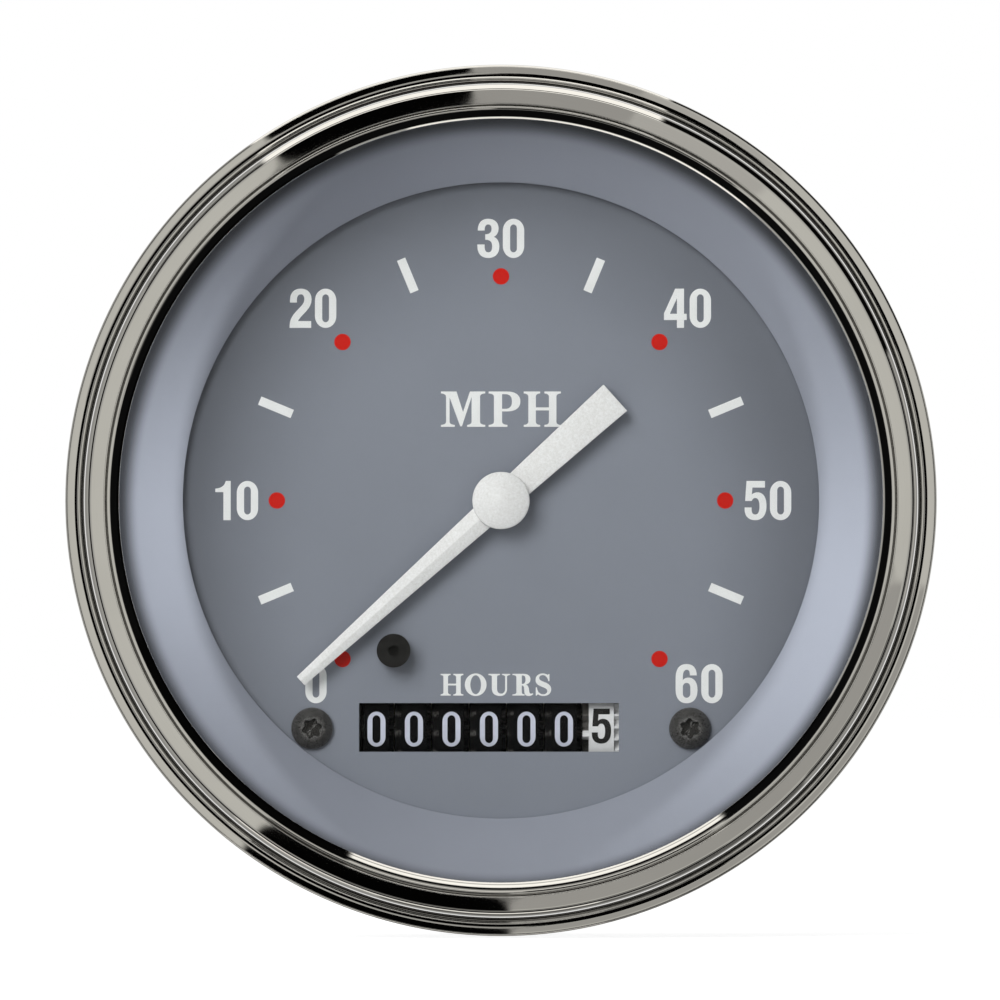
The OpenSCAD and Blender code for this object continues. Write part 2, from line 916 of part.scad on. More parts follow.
module driver_chip() {
    body_l = 10;
    body_w = 6.4;
    body_h = 3.3;
    stand_off = 0.5;
    leg_pitch = 2.54;
    leg_w = 0.5;
    leg_t = 0.8;
    leg_h = 2;
    leg_y = 3.5;
    color("dimgray")
        facing()
            translate([chip_x, chip_y, z_board1]) {
                translate([-body_l / 2, -body_w / 2, stand_off])
                    cube([body_l, body_w, body_h]);
                for (i = [-1.5:1:1.5], s = [-1, 1])
                    translate([i * leg_pitch - leg_w / 2, s * leg_y - leg_t / 2, 0])
                        cube([leg_w, leg_t, leg_h]);
            }
}

module voltage_regulator() {
    body_l = 10;
    body_w = 8;
    body_h = 4.4;
    tab_l = 6;
    tab_t = 1.3;
    tab_hole_r = 1.7;
    color("dimgray")
        facing()
            translate([regulator_x, regulator_y, z_board0])
                difference() {
                    union() {
                        translate([0, -body_w / 2, -body_h])
                            cube([body_l, body_w, body_h]);
                        translate([-tab_l, -body_w / 2, -tab_t])
                            cube([tab_l + cut, body_w, tab_t]);
                    }
                    translate([-tab_l / 2, 0, -tab_t - cut])
                        cylinder(r = tab_hole_r, h = tab_t + 2 * cut);
                }
}

// Rear: case, studs, terminals and lamps

module case() {
    in_corner_r = case_corner_r - case_wall;
    slot_x = block_x + block_play;
    slot_y = block_y + block_play;
    open_h = case_wall + 2 * cut;
    color("gainsboro")
        facing()
            difference() {
                rotate_extrude($fn = round_fn)
                    difference() {
                        union() {
                            polygon([
                                [0, z_back0], [case_r - case_corner_r, z_back0],
                                [case_r, z_back0 + case_corner_r], [case_r, 0],
                                [lip_r - loose_fit, z_flange0], [flange_r, z_flange0],
                                [flange_r, z_flange1], [0, z_flange1]
                            ]);
                            translate([case_r - case_corner_r, z_back0 + case_corner_r])
                                circle(r = case_corner_r);
                        }
                        union() {
                            polygon([
                                [0, z_back1], [case_in_r - in_corner_r, z_back1],
                                [case_in_r, z_back1 + in_corner_r], [case_in_r, z_flange1 + cut],
                                [0, z_flange1 + cut]
                            ]);
                            translate([case_in_r - in_corner_r, z_back1 + in_corner_r])
                                circle(r = in_corner_r);
                        }
                    }
                for (sx = [-1, 1]) {
                    translate([sx * stud_x, 0, z_back0 - cut])
                        cylinder(r = stud_root_r + loose_fit, h = open_h);
                    translate([sx * bulb_x, bulb_y, z_back0 - cut])
                        cylinder(r = holder_r + loose_fit, h = open_h);
                }
                translate([-slot_x, -slot_y, z_back0 - cut])
                    cube([2 * slot_x, 2 * slot_y, open_h]);
            }
}

module rear_spacers() {
    color("silver")
        facing()
            for (sx = [-1, 1])
                translate([sx * stud_x, 0, z_back1])
                    tube(pillar_r, stud_root_r + press_fit, z_board0 - z_back1);
}

module mounting_studs() {
    z_collar1 = z_back0 - washer_t;
    z_collar0 = z_collar1 - collar_h;
    tip_h = 0.8;
    color("silver")
        facing()
            for (sx = [-1, 1])
                translate([sx * stud_x, 0, 0]) {
                    translate([0, 0, z_collar1])
                        cylinder(r = stud_root_r, h = z_board1 + tap_depth - tap_spare - z_collar1);
                    translate([0, 0, z_collar0])
                        cylinder(r = collar_af / 2 / cos(30), h = collar_h, $fn = 6);
                    translate([0, 0, z_collar0 - stud_l + tip_h])
                        cylinder(r = stud_r, h = stud_l - tip_h);
                    translate([0, 0, z_collar0 - stud_l])
                        cylinder(r1 = stud_r - tip_h, r2 = stud_r, h = tip_h);
                }
}

module stud_washers() {
    color("silver")
        facing()
            for (sx = [-1, 1])
                translate([sx * stud_x, 0, z_back0 - washer_t])
                    tube(washer_r, stud_root_r + run_fit, washer_t);
}

module terminal_block() {
    flange_h = 1.5;
    flange_x = block_x + block_flange_w;
    flange_y = block_y + block_flange_w;
    inside = 3;
    slot_w = blade_w_out + 2 * loose_fit;
    slot_t = blade_thick + 2 * loose_fit;
    color("dimgray")
        facing()
            difference() {
                union() {
                    translate([-flange_x, -flange_y, z_back0 - flange_h])
                        cube([2 * flange_x, 2 * flange_y, flange_h]);
                    translate([-block_x, -block_y, z_back0])
                        cube([2 * block_x, 2 * block_y, case_wall + inside]);
                }
                for (i = [-1.5:1:1.5])
                    translate([i * blade_pitch - slot_w / 2, -slot_t / 2, z_back0 - flange_h - cut])
                        cube([slot_w, slot_t, flange_h + case_wall + inside + 2 * cut]);
            }
}

module blade_terminals() {
    z_tag = z_board1 + pin_over;
    z_end = z_back0 - blade_l;
    shoulder = 1;
    tip = 1.2;
    color("gold")
        facing()
            for (i = [-1.5:1:1.5])
                translate([i * blade_pitch, blade_thick / 2, 0])
                    rotate([90, 0, 0])
                        linear_extrude(blade_thick)
                            polygon([
                                [-tag_w / 2, z_tag], [tag_w / 2, z_tag],
                                [tag_w / 2, z_board0 - shoulder],
                                [blade_w_out / 2, z_board0 - shoulder],
                                [blade_w_out / 2, z_end + tip],
                                [blade_w_out / 2 - tip, z_end],
                                [tip - blade_w_out / 2, z_end],
                                [-blade_w_out / 2, z_end + tip],
                                [-blade_w_out / 2, z_board0 - shoulder],
                                [-tag_w / 2, z_board0 - shoulder]
                            ]);
}

module bulb_holders() {
    flange_h = 2;
    grip_h = 3;
    grip_l = 10;
    grip_t = 2.4;
    color("dimgray")
        facing()
            for (sx = [-1, 1])
                translate([sx * bulb_x, bulb_y, z_back0])
                    difference() {
                        union() {
                            cylinder(r = holder_r, h = case_wall + holder_inside);
                            translate([0, 0, -flange_h])
                                cylinder(r = holder_flange_r, h = flange_h);
                            translate([-grip_l / 2, -grip_t / 2, -flange_h - grip_h])
                                cube([grip_l, grip_t, grip_h]);
                        }
                        cylinder(r = bulb_base_r + press_fit, h = case_wall + holder_inside + cut);
                    }
}

module bulbs() {
    base_l = 3.5;
    glass_l = 9;
    color("lightyellow", 0.7)
        facing()
            for (sx = [-1, 1])
                translate([sx * bulb_x, bulb_y, z_back1 + holder_inside]) {
                    translate([0, 0, -base_l])
                        cylinder(r = bulb_base_r, h = base_l);
                    cylinder(r = bulb_r, h = glass_l);
                    translate([0, 0, glass_l])
                        sphere(r = bulb_r);
                }
}

// Hour counter

// Disc on the left of a drum: two carry teeth in a gap of the locking rim.
module carry_outline() {
    gap = 27;
    far = 2 * drum_r;
    wedge = [[0, 0], polar(far, -gap), polar(far, 0), polar(far, gap)];
    difference() {
        circle(r = count_m * drum_teeth / 2, $fn = 72);
        polygon(wedge);
    }
    intersection() {
        rotate(180 / drum_teeth)
            polygon(gear_points(drum_teeth, count_m));
        polygon(wedge);
    }
}

module drum(index) {
    last = drums - 1;
    color(index == last ? "white" : "dimgray")
        on_counter(drum_x(index))
            difference() {
                union() {
                    translate([0, 0, -band_w / 2])
                        cylinder(r = drum_r, h = band_w, $fn = 96);
                    if (index < last)
                        translate([0, 0, band_w / 2])
                            gear(drum_teeth, count_m, gear_w);
                    if (index == last)
                        translate([0, 0, band_w / 2])
                            rotate(idler_dir)
                                gear(drive_teeth, drive_m, drive_w);
                    if (index > 0)
                        translate([0, 0, -band_w / 2 - carry_w])
                            rotate(36 * (digits_shown[index] + 0.5))
                                linear_extrude(carry_w)
                                    carry_outline();
                }
                translate([0, 0, -drum_pitch])
                    cylinder(r = drum_shaft_r + run_fit, h = 2 * drum_pitch);
            }
}

// Pinion to the right of a drum: teeth in the plane of its gear, on a long sleeve.
module pinion(index) {
    teeth_w = gear_w + end_play - 2 * side_play;
    color("orange")
        on_counter(drum_x(index) + band_w / 2, pinion_dist, 0)
            difference() {
                union() {
                    translate([0, 0, side_play])
                        rotate(180 / pinion_teeth)
                            gear(pinion_teeth, count_m, teeth_w);
                    translate([0, 0, side_play])
                        cylinder(r = pinion_hub_r, h = drum_pitch - 2 * side_play);
                }
                translate([0, 0, -cut])
                    cylinder(r = pinion_shaft_r + run_fit, h = drum_pitch + 2 * cut);
            }
}

module drum_hundred_thousands() {
    drum(0);
}

module drum_ten_thousands() {
    drum(1);
}

module drum_thousands() {
    drum(2);
}

module drum_hundreds() {
    drum(3);
}

module drum_tens() {
    drum(4);
}

module drum_units() {
    drum(5);
}

module drum_tenths() {
    drum(6);
}

module pinion_1() {
    pinion(0);
}

module pinion_2() {
    pinion(1);
}

module pinion_3() {
    pinion(2);
}

module pinion_4() {
    pinion(3);
}

module pinion_5() {
    pinion(4);
}

module pinion_6() {
    pinion(5);
}

// A screw post of the motor, in the plane of a cheek.
function motor_post(side) =
    let (motor = polar(idler_dist, idler_dir) + polar(motor_dist, motor_dir))
    motor + polar(motor_pcd_r, 180 + motor_dir + side * motor_turn);

module front_edge() {
    front = z_plate0 - counter_z;
    edge_w = 2;
    translate([-front, -web_half])
        square([edge_w, foot_y + foot_w - window_y + web_half]);
}

module rear_edge() {
    translate([pinion_dist, -web_half])
        square([web_x + cheek_t - pinion_dist, 2 * web_half]);
}

module left_cheek() {
    hull() {
        front_edge();
        rear_edge();
    }
}

module right_cheek() {
    hull() {
        front_edge();
        rear_edge();
        translate(polar(idler_dist, idler_dir))
            circle(r = boss_edge_r);
        for (side = [-1, 1])
            translate(motor_post(side))
                circle(r = boss_edge_r);
    }
}

module counter_frame() {
    width = cheek_r - cheek_l + 2 * cheek_t;
    color("khaki")
        difference() {
            union() {
                on_counter(cheek_l - cheek_t)
                    linear_extrude(cheek_t)
                        left_cheek();
                on_counter(cheek_r)
                    linear_extrude(cheek_t)
                        right_cheek();
                on_counter(cheek_l - cheek_t)
                    translate([web_x, -web_half, 0])
                        cube([cheek_t, 2 * web_half, width]);
                facing() {
                    translate([cheek_l - cheek_t - foot_l, foot_y, z_plate0 - cheek_t])
                        cube([foot_l + cut, foot_w, cheek_t]);
                    translate([cheek_r + cheek_t - cut, foot_y, z_plate0 - cheek_t])
                        cube([foot_l + cut, foot_w, cheek_t]);
                }
            }
            on_counter(cheek_l - cheek_t - cut)
                cylinder(r = drum_shaft_r + press_fit, h = width + 2 * cut);
            on_counter(cheek_l - cheek_t - cut, pinion_dist)
                cylinder(r = pinion_shaft_r + press_fit, h = width + 2 * cut);
            on_counter(cheek_r - cut, idler_dist, idler_dir)
                cylinder(r = idler_shaft_r + run_fit, h = cheek_t + 2 * cut);
            on_counter(cheek_r - cut)
                for (side = [-1, 1])
                    translate(concat(motor_post(side), 0))
                        cylinder(r = motor_screw_r + run_fit, h = cheek_t + 2 * cut);
            facing()
                for (x = [frame_screw_l, frame_screw_rt])
                    translate([x, frame_screw_y, z_plate0 - cheek_t - cut])
                        cylinder(r = frame_screw_r + run_fit, h = cheek_t + 2 * cut);
        }
}

module frame_screws() {
    color("silver")
        facing()
            for (x = [frame_screw_l, frame_screw_rt])
                translate([x, frame_screw_y, z_plate1])
                    screw(frame_head_r, spacer_h - head_room, frame_screw_r, plate_t + cheek_t + screw_over);
}

module drum_shaft() {
    over = cheek_t + shaft_over;
    color("silver")
        on_counter(cheek_l - over)
            cylinder(r = drum_shaft_r, h = cheek_r - cheek_l + 2 * over);
}

module pinion_shaft() {
    over = cheek_t + shaft_over;
    color("silver")
        on_counter(cheek_l - over, pinion_dist)
            cylinder(r = pinion_shaft_r, h = cheek_r - cheek_l + 2 * over);
}

module idler_pinion() {
    start = cheek_r - cheek_play - drive_w + side_play;
    teeth_w = drive_w - 2 * side_play;
    color("orange")
        on_counter(start, idler_dist, idler_dir) {
            rotate(idler_dir + 180 + 180 / idler_teeth)
                gear(idler_teeth, drive_m, teeth_w);
            cylinder(r = idler_collar_r, h = teeth_w + cheek_play);
            cylinder(r = idler_shaft_r, h = cheek_r + cheek_t + idler_over - start);
        }
}

module idler_gear() {
    color("orange")
        on_counter(cheek_r + cheek_t + cheek_play, idler_dist, idler_dir)
            difference() {
                union() {
                    rotate(motor_dir)
                        gear(second_teeth, drive_m, drive_w);
                    cylinder(r = idler_hub_r, h = drive_w + idler_hub_h);
                }
                translate([0, 0, -cut])
                    cylinder(r = idler_shaft_r + press_fit, h = drive_w + idler_hub_h + 2 * cut);
            }
}

module motor_pinion() {
    color("orange")
        on_motor(cheek_r + cheek_t + cheek_play) {
            rotate(motor_dir + 180 + 180 / motor_teeth)
                gear(motor_teeth, drive_m, drive_w);
            cylinder(r = motor_shaft_r, h = motor_gap - cheek_play + shaft_in);
        }
}

module counter_motor() {
    color("lightgray")
        difference() {
            union() {
                on_motor(cheek_r + cheek_t + motor_gap)
                    cylinder(r = motor_d / 2, h = motor_l, $fn = 72);
                on_counter(cheek_r + cheek_t)
                    for (side = [-1, 1])
                        translate(concat(motor_post(side), 0))
                            cylinder(r = motor_post_r, h = motor_gap + motor_post_in);
            }
            on_motor(cheek_r + cheek_t + motor_gap - cut)
                cylinder(r = motor_shaft_r + run_fit, h = bearing_l + cut);
            on_counter(cheek_r + cheek_t - cut)
                for (side = [-1, 1])
                    translate(concat(motor_post(side), 0))
                        cylinder(r = motor_screw_r + press_fit, h = motor_gap + 2 * motor_screw_in + cut);
        }
}

module motor_screws() {
    shank_l = cheek_t + motor_gap + motor_screw_in;
    color("silver")
        on_counter(cheek_r)
            for (side = [-1, 1])
                translate(concat(motor_post(side), 0))
                    mirror([0, 0, 1])
                        screw(motor_head_r, motor_head_h, motor_screw_r, shank_l);
}

bezel();
front_seal();
lens();
rear_seal();
visor_ring();
dial();
dial_screws();
dial_spacers();
pointer_stop();
case();
movement_plate();
frame_pillars();
pillar_screws();
rear_spacers();
mounting_studs();
stud_washers();
movement_can();
bobbin_front();
bobbin_rear();
inner_coil();
outer_coil();
front_bush();
rear_bush();
movement_screws();
movement_pins();
circuit_board();
capacitors();
driver_chip();
voltage_regulator();
terminal_block();
blade_terminals();
bulb_holders();
bulbs();
counter_frame();
frame_screws();
drum_shaft();
pinion_shaft();
counter_motor();
motor_screws();
pointer();
pointer_cap();
pointer_spindle();
rotor_magnet();
drum_hundred_thousands();
drum_ten_thousands();
drum_thousands();
drum_hundreds();
drum_tens();
drum_units();
drum_tenths();
pinion_1();
pinion_2();
pinion_3();
pinion_4();
pinion_5();
pinion_6();
idler_pinion();
idler_gear();
motor_pinion();
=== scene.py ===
import json
import math

import bmesh
import bpy
from mathutils import Matrix, Vector
from mathutils.geometry import tessellate_polygon


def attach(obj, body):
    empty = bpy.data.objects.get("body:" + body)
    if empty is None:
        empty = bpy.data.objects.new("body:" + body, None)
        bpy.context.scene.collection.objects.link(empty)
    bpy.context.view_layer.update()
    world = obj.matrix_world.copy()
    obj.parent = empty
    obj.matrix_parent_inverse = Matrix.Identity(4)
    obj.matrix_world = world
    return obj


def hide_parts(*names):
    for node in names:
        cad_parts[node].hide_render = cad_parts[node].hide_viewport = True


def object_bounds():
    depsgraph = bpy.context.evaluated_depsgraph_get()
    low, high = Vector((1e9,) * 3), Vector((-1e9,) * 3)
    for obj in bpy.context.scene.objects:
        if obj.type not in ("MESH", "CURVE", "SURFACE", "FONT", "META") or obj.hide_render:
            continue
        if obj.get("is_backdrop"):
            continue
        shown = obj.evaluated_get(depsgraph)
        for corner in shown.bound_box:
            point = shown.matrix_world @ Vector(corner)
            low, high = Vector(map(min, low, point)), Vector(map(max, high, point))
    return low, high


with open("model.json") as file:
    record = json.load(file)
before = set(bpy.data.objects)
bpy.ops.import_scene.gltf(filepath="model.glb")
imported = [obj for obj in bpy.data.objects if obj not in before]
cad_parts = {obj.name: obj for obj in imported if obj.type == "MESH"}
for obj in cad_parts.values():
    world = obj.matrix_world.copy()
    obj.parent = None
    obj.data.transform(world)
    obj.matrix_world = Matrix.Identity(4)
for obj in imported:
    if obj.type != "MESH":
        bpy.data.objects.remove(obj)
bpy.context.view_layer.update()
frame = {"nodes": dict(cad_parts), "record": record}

# Millimetres on the instrument: x right, y up, z towards the viewer
MM = 0.001

# The photograph: its width, the middle of the dial on it, and one of its pixels in millimetres
PHOTO_PX = 1000
DIAL_PX = (501.05, 500.9)
PX = 47 / 436

# Levels of the dial, of the blade's underside and of the pointer cap's foot; the blade's angle at rest
Z_DIAL = -6.5
Z_BLADE = -4.9
Z_CAP = -3.994
POINTER_REST = math.radians(-138)

# Drums: radius, axis, middle and pitch, half width of a printed band, the left end of the last band and
# the width over which their paint ends
DRUM_R = 7.6
DRUM_Y, DRUM_Z = -24.5, -15.25
DRUM_MID_X, DRUM_PITCH = -1.3, 4.05
BAND_HALF, BAND_LEFT = 1.35, 9.5
FADE = 0.06

# Angles on the drums, from the front and upwards: the white carry tooth, and a tooth of the gears with a
# painted glint
CARRY_TOOTH, CARRY_TOOTH_HALF = math.radians(-7.9), math.radians(4.6)
GLINT_TOOTH, TOOTH_STEP = math.radians(12.5), math.radians(18)


def polar(r, degrees):
    a = math.radians(degrees)
    return r * math.cos(a), r * math.sin(a)


# Shader nodes


def node(tree, kind, values=None, links=None, **settings):
    n = tree.nodes.new("ShaderNode" + kind)
    for key, value in settings.items():
        setattr(n, key, value)
    for key, value in (values or {}).items():
        n.inputs[key].default_value = value
    for key, source in (links or {}).items():
        tree.links.new(source, n.inputs[key])
    return n


def math_node(tree, operation, a, b=None, clamp=False):
    n = tree.nodes.new("ShaderNodeMath")
    n.operation = operation
    n.use_clamp = clamp
    for i, value in enumerate((a, b)):
        if isinstance(value, (int, float)):
            n.inputs[i].default_value = value
        elif value is not None:
            tree.links.new(value, n.inputs[i])
    return n.outputs[0]


def vector_node(tree, operation, vector, constant):
    return node(tree, "VectorMath", {1: constant}, {0: vector}, operation=operation).outputs[0]


def remap(tree, value, low, high, to_low=0.0, to_high=1.0, smooth=False):
    return node(tree, "MapRange", {1: low, 2: high, 3: to_low, 4: to_high}, {0: value},
                interpolation_type="SMOOTHSTEP" if smooth else "LINEAR").outputs[0]


def ramp(tree, value, stops):
    n = node(tree, "ValToRGB", None, {0: value})
    cr = n.color_ramp
    while len(cr.elements) < len(stops):
        cr.elements.new(0.5)
    for e, (place, colour) in zip(cr.elements, stops):
        e.position = place
        e.color = (*colour, 1.0)
    return n.outputs[0]


def mix_colour(tree, factor, a, b, blend="MIX"):
    n = tree.nodes.new("ShaderNodeMix")
    n.data_type = "RGBA"
    n.blend_type = blend
    for socket, value in ((n.inputs[0], factor), (n.inputs[6], a), (n.inputs[7], b)):
        if isinstance(value, (int, float)):
            socket.default_value = value
        elif isinstance(value, (tuple, list)):
            socket.default_value = (*value[:3], 1.0)
        else:
            tree.links.new(value, socket)
    return n.outputs[2]


def noise(tree, vector, scale, detail=4.0):
    values = {"Scale": scale, "Detail": detail, "Roughness": 0.55}
    return node(tree, "TexNoise", values, {"Vector": vector}).outputs[0]


def spread(tree, value, low=0.0, high=1.0):
    """The usual range of a noise, stretched from low to high."""
    return remap(tree, value, 0.3, 0.7, low, high)


def shade(colour, factor):
    return tuple(min(1.0, c * factor) for c in colour[:3])


def new_material(name):
    m = bpy.data.materials.new(name)
    m.use_nodes = True
    tree = m.node_tree
    tree.nodes.clear()
    out = tree.nodes.new("ShaderNodeOutputMaterial")
    coords = tree.nodes.new("ShaderNodeTexCoord").outputs["Object"]
    return m, tree, out, coords


def axis_distance(tree, coords):
    """Distance from the axis of the instrument."""
    x, _, z = node(tree, "SeparateXYZ", None, {0: coords}).outputs
    squares = math_node(tree, "MULTIPLY", x, x), math_node(tree, "MULTIPLY", z, z)
    return math_node(tree, "SQRT", math_node(tree, "ADD", *squares))


def lathe_vector(tree, coords, stretch):
    """Coordinates that change little round the axis, so that a noise becomes turned rings."""
    x, y, z = node(tree, "SeparateXYZ", None, {0: coords}).outputs
    turn = math_node(tree, "MULTIPLY", math_node(tree, "ARCTAN2", z, x), stretch)
    return node(tree, "CombineXYZ", None, {0: axis_distance(tree, coords), 1: y, 2: turn}).outputs[0]


def surface(name, colour, rough, metallic=0.0, grain=0.3, tint=0.08, vary=0.06, bump=0.01, blotch=8.0,
            blotch_tint=0.06, rings=False, specular=0.5, coat=0.0, speck=None, wear_and_highlight=None, painted_rim_shade=None,
            paint=None):
    """A painted, plated or moulded surface, with its lengths in millimetres.

    grain is the size of the fine unevenness; tint, vary and bump are what it does to colour, roughness and
    height, and with rings it runs round the axis. blotch and blotch_tint are the broad unevenness.
    speck is the size, share and colour of specks, and wear the amount and colour of scuffed corners,
    lightened beyond the scuffing as a painted highlight. edge paints shade that darkens towards the rim:
    inner and outer radius, what is left of the colour outside, and how far the ring is lowered and its
    height changed.
    paint(tree, coords, base) may colour a part of it."""
    m, tree, out, coords = new_material(name)
    fine_at = lathe_vector(tree, coords, 0.002) if rings else coords
    fine = noise(tree, fine_at, 1 / (grain * MM), 3.0)
    broad = noise(tree, coords, 1 / (blotch * MM), 3.0)
    base = mix_colour(tree, fine, shade(colour, 1 - tint), shade(colour, 1 + tint))
    blotched = mix_colour(tree, 1.0, base, shade((1, 1, 1), 1 - 2 * blotch_tint), "MULTIPLY")
    base = mix_colour(tree, spread(tree, broad), base, blotched)
    rough_value = math_node(tree, "ADD", spread(tree, fine, rough - vary, rough + vary),
                            spread(tree, broad, -vary / 2, vary / 2), clamp=True)
    if speck:
        size, share, speck_colour = speck
        dots = noise(tree, coords, 1 / (size * MM), 1.0)
        base = mix_colour(tree, remap(tree, dots, 1 - share, 1 - share + 0.04), base, speck_colour)
    # Painted shade: the colour darkens towards the rim of a ring that may be lowered and squashed, so one
    # side gets more
    if painted_rim_shade:
        inner, outer, left, drop, squash = painted_rim_shade
        squashed = vector_node(tree, "MULTIPLY", coords, (1, 1, squash))
        radius = axis_distance(tree, vector_node(tree, "ADD", squashed, (0, 0, drop * MM)))
        darker = mix_colour(tree, 1.0, base, (left, left, left), "MULTIPLY")
        base = mix_colour(tree, remap(tree, radius, inner * MM, outer * MM, smooth=True), base, darker)
    if paint:
        base = paint(tree, coords, base)
    # Scuffed corners, lightened beyond the scuffing as a painted highlight
    if wear_and_highlight:
        amount, wear_highlight_colour = wear_and_highlight
        corner = remap(tree, node(tree, "NewGeometry").outputs["Pointiness"], 0.505, 0.55)
        worn_and_lit = math_node(tree, "MULTIPLY", corner, remap(tree, fine, 0.35, 0.6, 0.0, amount))
        base = mix_colour(tree, worn_and_lit, base, wear_highlight_colour)
    height = node(tree, "Bump", {"Strength": 0.6, "Distance": bump * MM}, {"Height": fine})
    bsdf = node(tree, "BsdfPrincipled", {
        "Metallic": metallic, "Specular IOR Level": specular, "Coat Weight": coat, "Coat Roughness": 0.2},
        {"Base Color": base, "Roughness": rough_value, "Normal": height.outputs[0]})
    tree.links.new(bsdf.outputs[0], out.inputs[0])
    return m


def clear_pane(name, tint, rough, share):
    """Thin clear glass: light goes straight through, and a share of the surroundings shows on it."""
    m, tree, out, coords = new_material(name)
    film = noise(tree, coords, 60.0, 2.0)
    through = node(tree, "BsdfTransparent", None, {
        0: mix_colour(tree, film, tint, shade(tint, 0.985))})
    mirror = node(tree, "BsdfGlossy", {"Roughness": rough})
    facing = node(tree, "Fresnel", {"IOR": 1.45}).outputs[0]
    amount = math_node(tree, "MULTIPLY", facing, share)
    mixed = node(tree, "MixShader", None, {0: amount, 1: through.outputs[0], 2: mirror.outputs[0]})
    tree.links.new(mixed.outputs[0], out.inputs[0])
    return m


def polished_metal(name, colour, rough, shade_rings):
    """Turned and polished plating: faint rings, soft smears and a slight unevenness in the reflections.

    Dark rings are painted shade and dark reflections in the recesses: middle radius, half width and what
    is left of the colour."""
    m, tree, out, coords = new_material(name)
    rings = noise(tree, lathe_vector(tree, coords, 0.0006), 24000.0, 3.0)
    smear = noise(tree, coords, 90.0, 4.0)
    wave = noise(tree, coords, 160.0, 1.0)
    base = mix_colour(tree, rings, shade(colour, 0.95), shade(colour, 1.03))
    base = mix_colour(tree, remap(tree, smear, 0.45, 0.75, 0.0, 0.35), base, shade(colour, 0.86))
    radius = axis_distance(tree, coords)
    soft = 0.05
    # Painted shade: the plating is darkened in rings where the recesses lie
    for middle, half, left in shade_rings:
        off = math_node(tree, "ABSOLUTE", math_node(tree, "SUBTRACT", radius, middle * MM))
        inside = remap(tree, off, (half - soft) * MM, (half + soft) * MM, 1.0, 0.0, smooth=True)
        base = mix_colour(tree, inside, base, shade(colour, left))
    roughness = math_node(tree, "ADD", spread(tree, rings, rough * 0.7, rough * 1.3),
                          remap(tree, smear, 0.4, 0.8, 0.0, 0.02))
    fine = node(tree, "Bump", {"Strength": 0.25, "Distance": 0.0006 * MM}, {"Height": rings})
    broad = node(tree, "Bump", {"Strength": 0.3, "Distance": 0.03 * MM},
                 {"Height": wave, "Normal": fine.outputs[0]})
    bsdf = node(tree, "BsdfPrincipled", {"Metallic": 1.0}, {
        "Base Color": base, "Roughness": roughness, "Normal": broad.outputs[0]})
    tree.links.new(bsdf.outputs[0], out.inputs[0])
    return m


# Painted shade on the recessed carry disc of the last drum: deep, and lighter above the carry tooth
DISC_DEEP_SHADE, DISC_LIGHT_SHADE = (0.012, 0.011, 0.010), (0.10, 0.093, 0.088)
# Colour of the painted glints on the teeth between the drums
GLINT_GREY = (0.10, 0.095, 0.09)


def drum_turn(tree, y, z):
    """Angle round the shaft of the drums, from the front and upwards."""
    return math_node(tree, "ARCTAN2", math_node(tree, "SUBTRACT", z, DRUM_Y * MM),
                     math_node(tree, "SUBTRACT", -DRUM_Z * MM, y))


def dark_carry_disc(tree, coords, base):
    """Painted shade on the recessed disc at the left of the last drum, lighter above its white carry
    tooth.
    """
    x, y, z = node(tree, "SeparateXYZ", None, {0: coords}).outputs
    above = math_node(tree, "SUBTRACT", drum_turn(tree, y, z), CARRY_TOOTH)
    disc = remap(tree, x, BAND_LEFT * MM, (BAND_LEFT - FADE) * MM)
    away = remap(tree, math_node(tree, "ABSOLUTE", above), CARRY_TOOTH_HALF, CARRY_TOOTH_HALF * 1.15)
    tone = mix_colour(tree, remap(tree, above, -0.02, 0.02), DISC_DEEP_SHADE, DISC_LIGHT_SHADE)
    return mix_colour(tree, math_node(tree, "MULTIPLY", disc, away), base, tone)


def from_whole(tree, value, first, step):
    """Distance to the nearest of the values first, first + step and so on, in steps."""
    steps = math_node(tree, "DIVIDE", math_node(tree, "SUBTRACT", value, first), step)
    return math_node(tree, "ABSOLUTE", math_node(tree, "SUBTRACT", steps, math_node(tree, "ROUND", steps)))


def rubbed_teeth(tree, coords, base):
    """Painted glints, uneven, on the teeth in the gaps between the black drums."""
    x, y, z = node(tree, "SeparateXYZ", None, {0: coords}).outputs
    off_drum = from_whole(tree, x, DRUM_MID_X * MM, DRUM_PITCH * MM)
    gap = remap(tree, off_drum, BAND_HALF / DRUM_PITCH, (BAND_HALF + FADE) / DRUM_PITCH)
    off_tooth = from_whole(tree, drum_turn(tree, y, z), GLINT_TOOTH, TOOTH_STEP)
    tooth = remap(tree, off_tooth, 0.07, 0.19, 1.0, 0.0)
    uneven = remap(tree, noise(tree, coords, 1 / (0.45 * MM)), 0.42, 0.62)
    glinting = math_node(tree, "MULTIPLY", gap, math_node(tree, "MULTIPLY", tooth, uneven))
    return mix_colour(tree, glinting, base, GLINT_GREY)
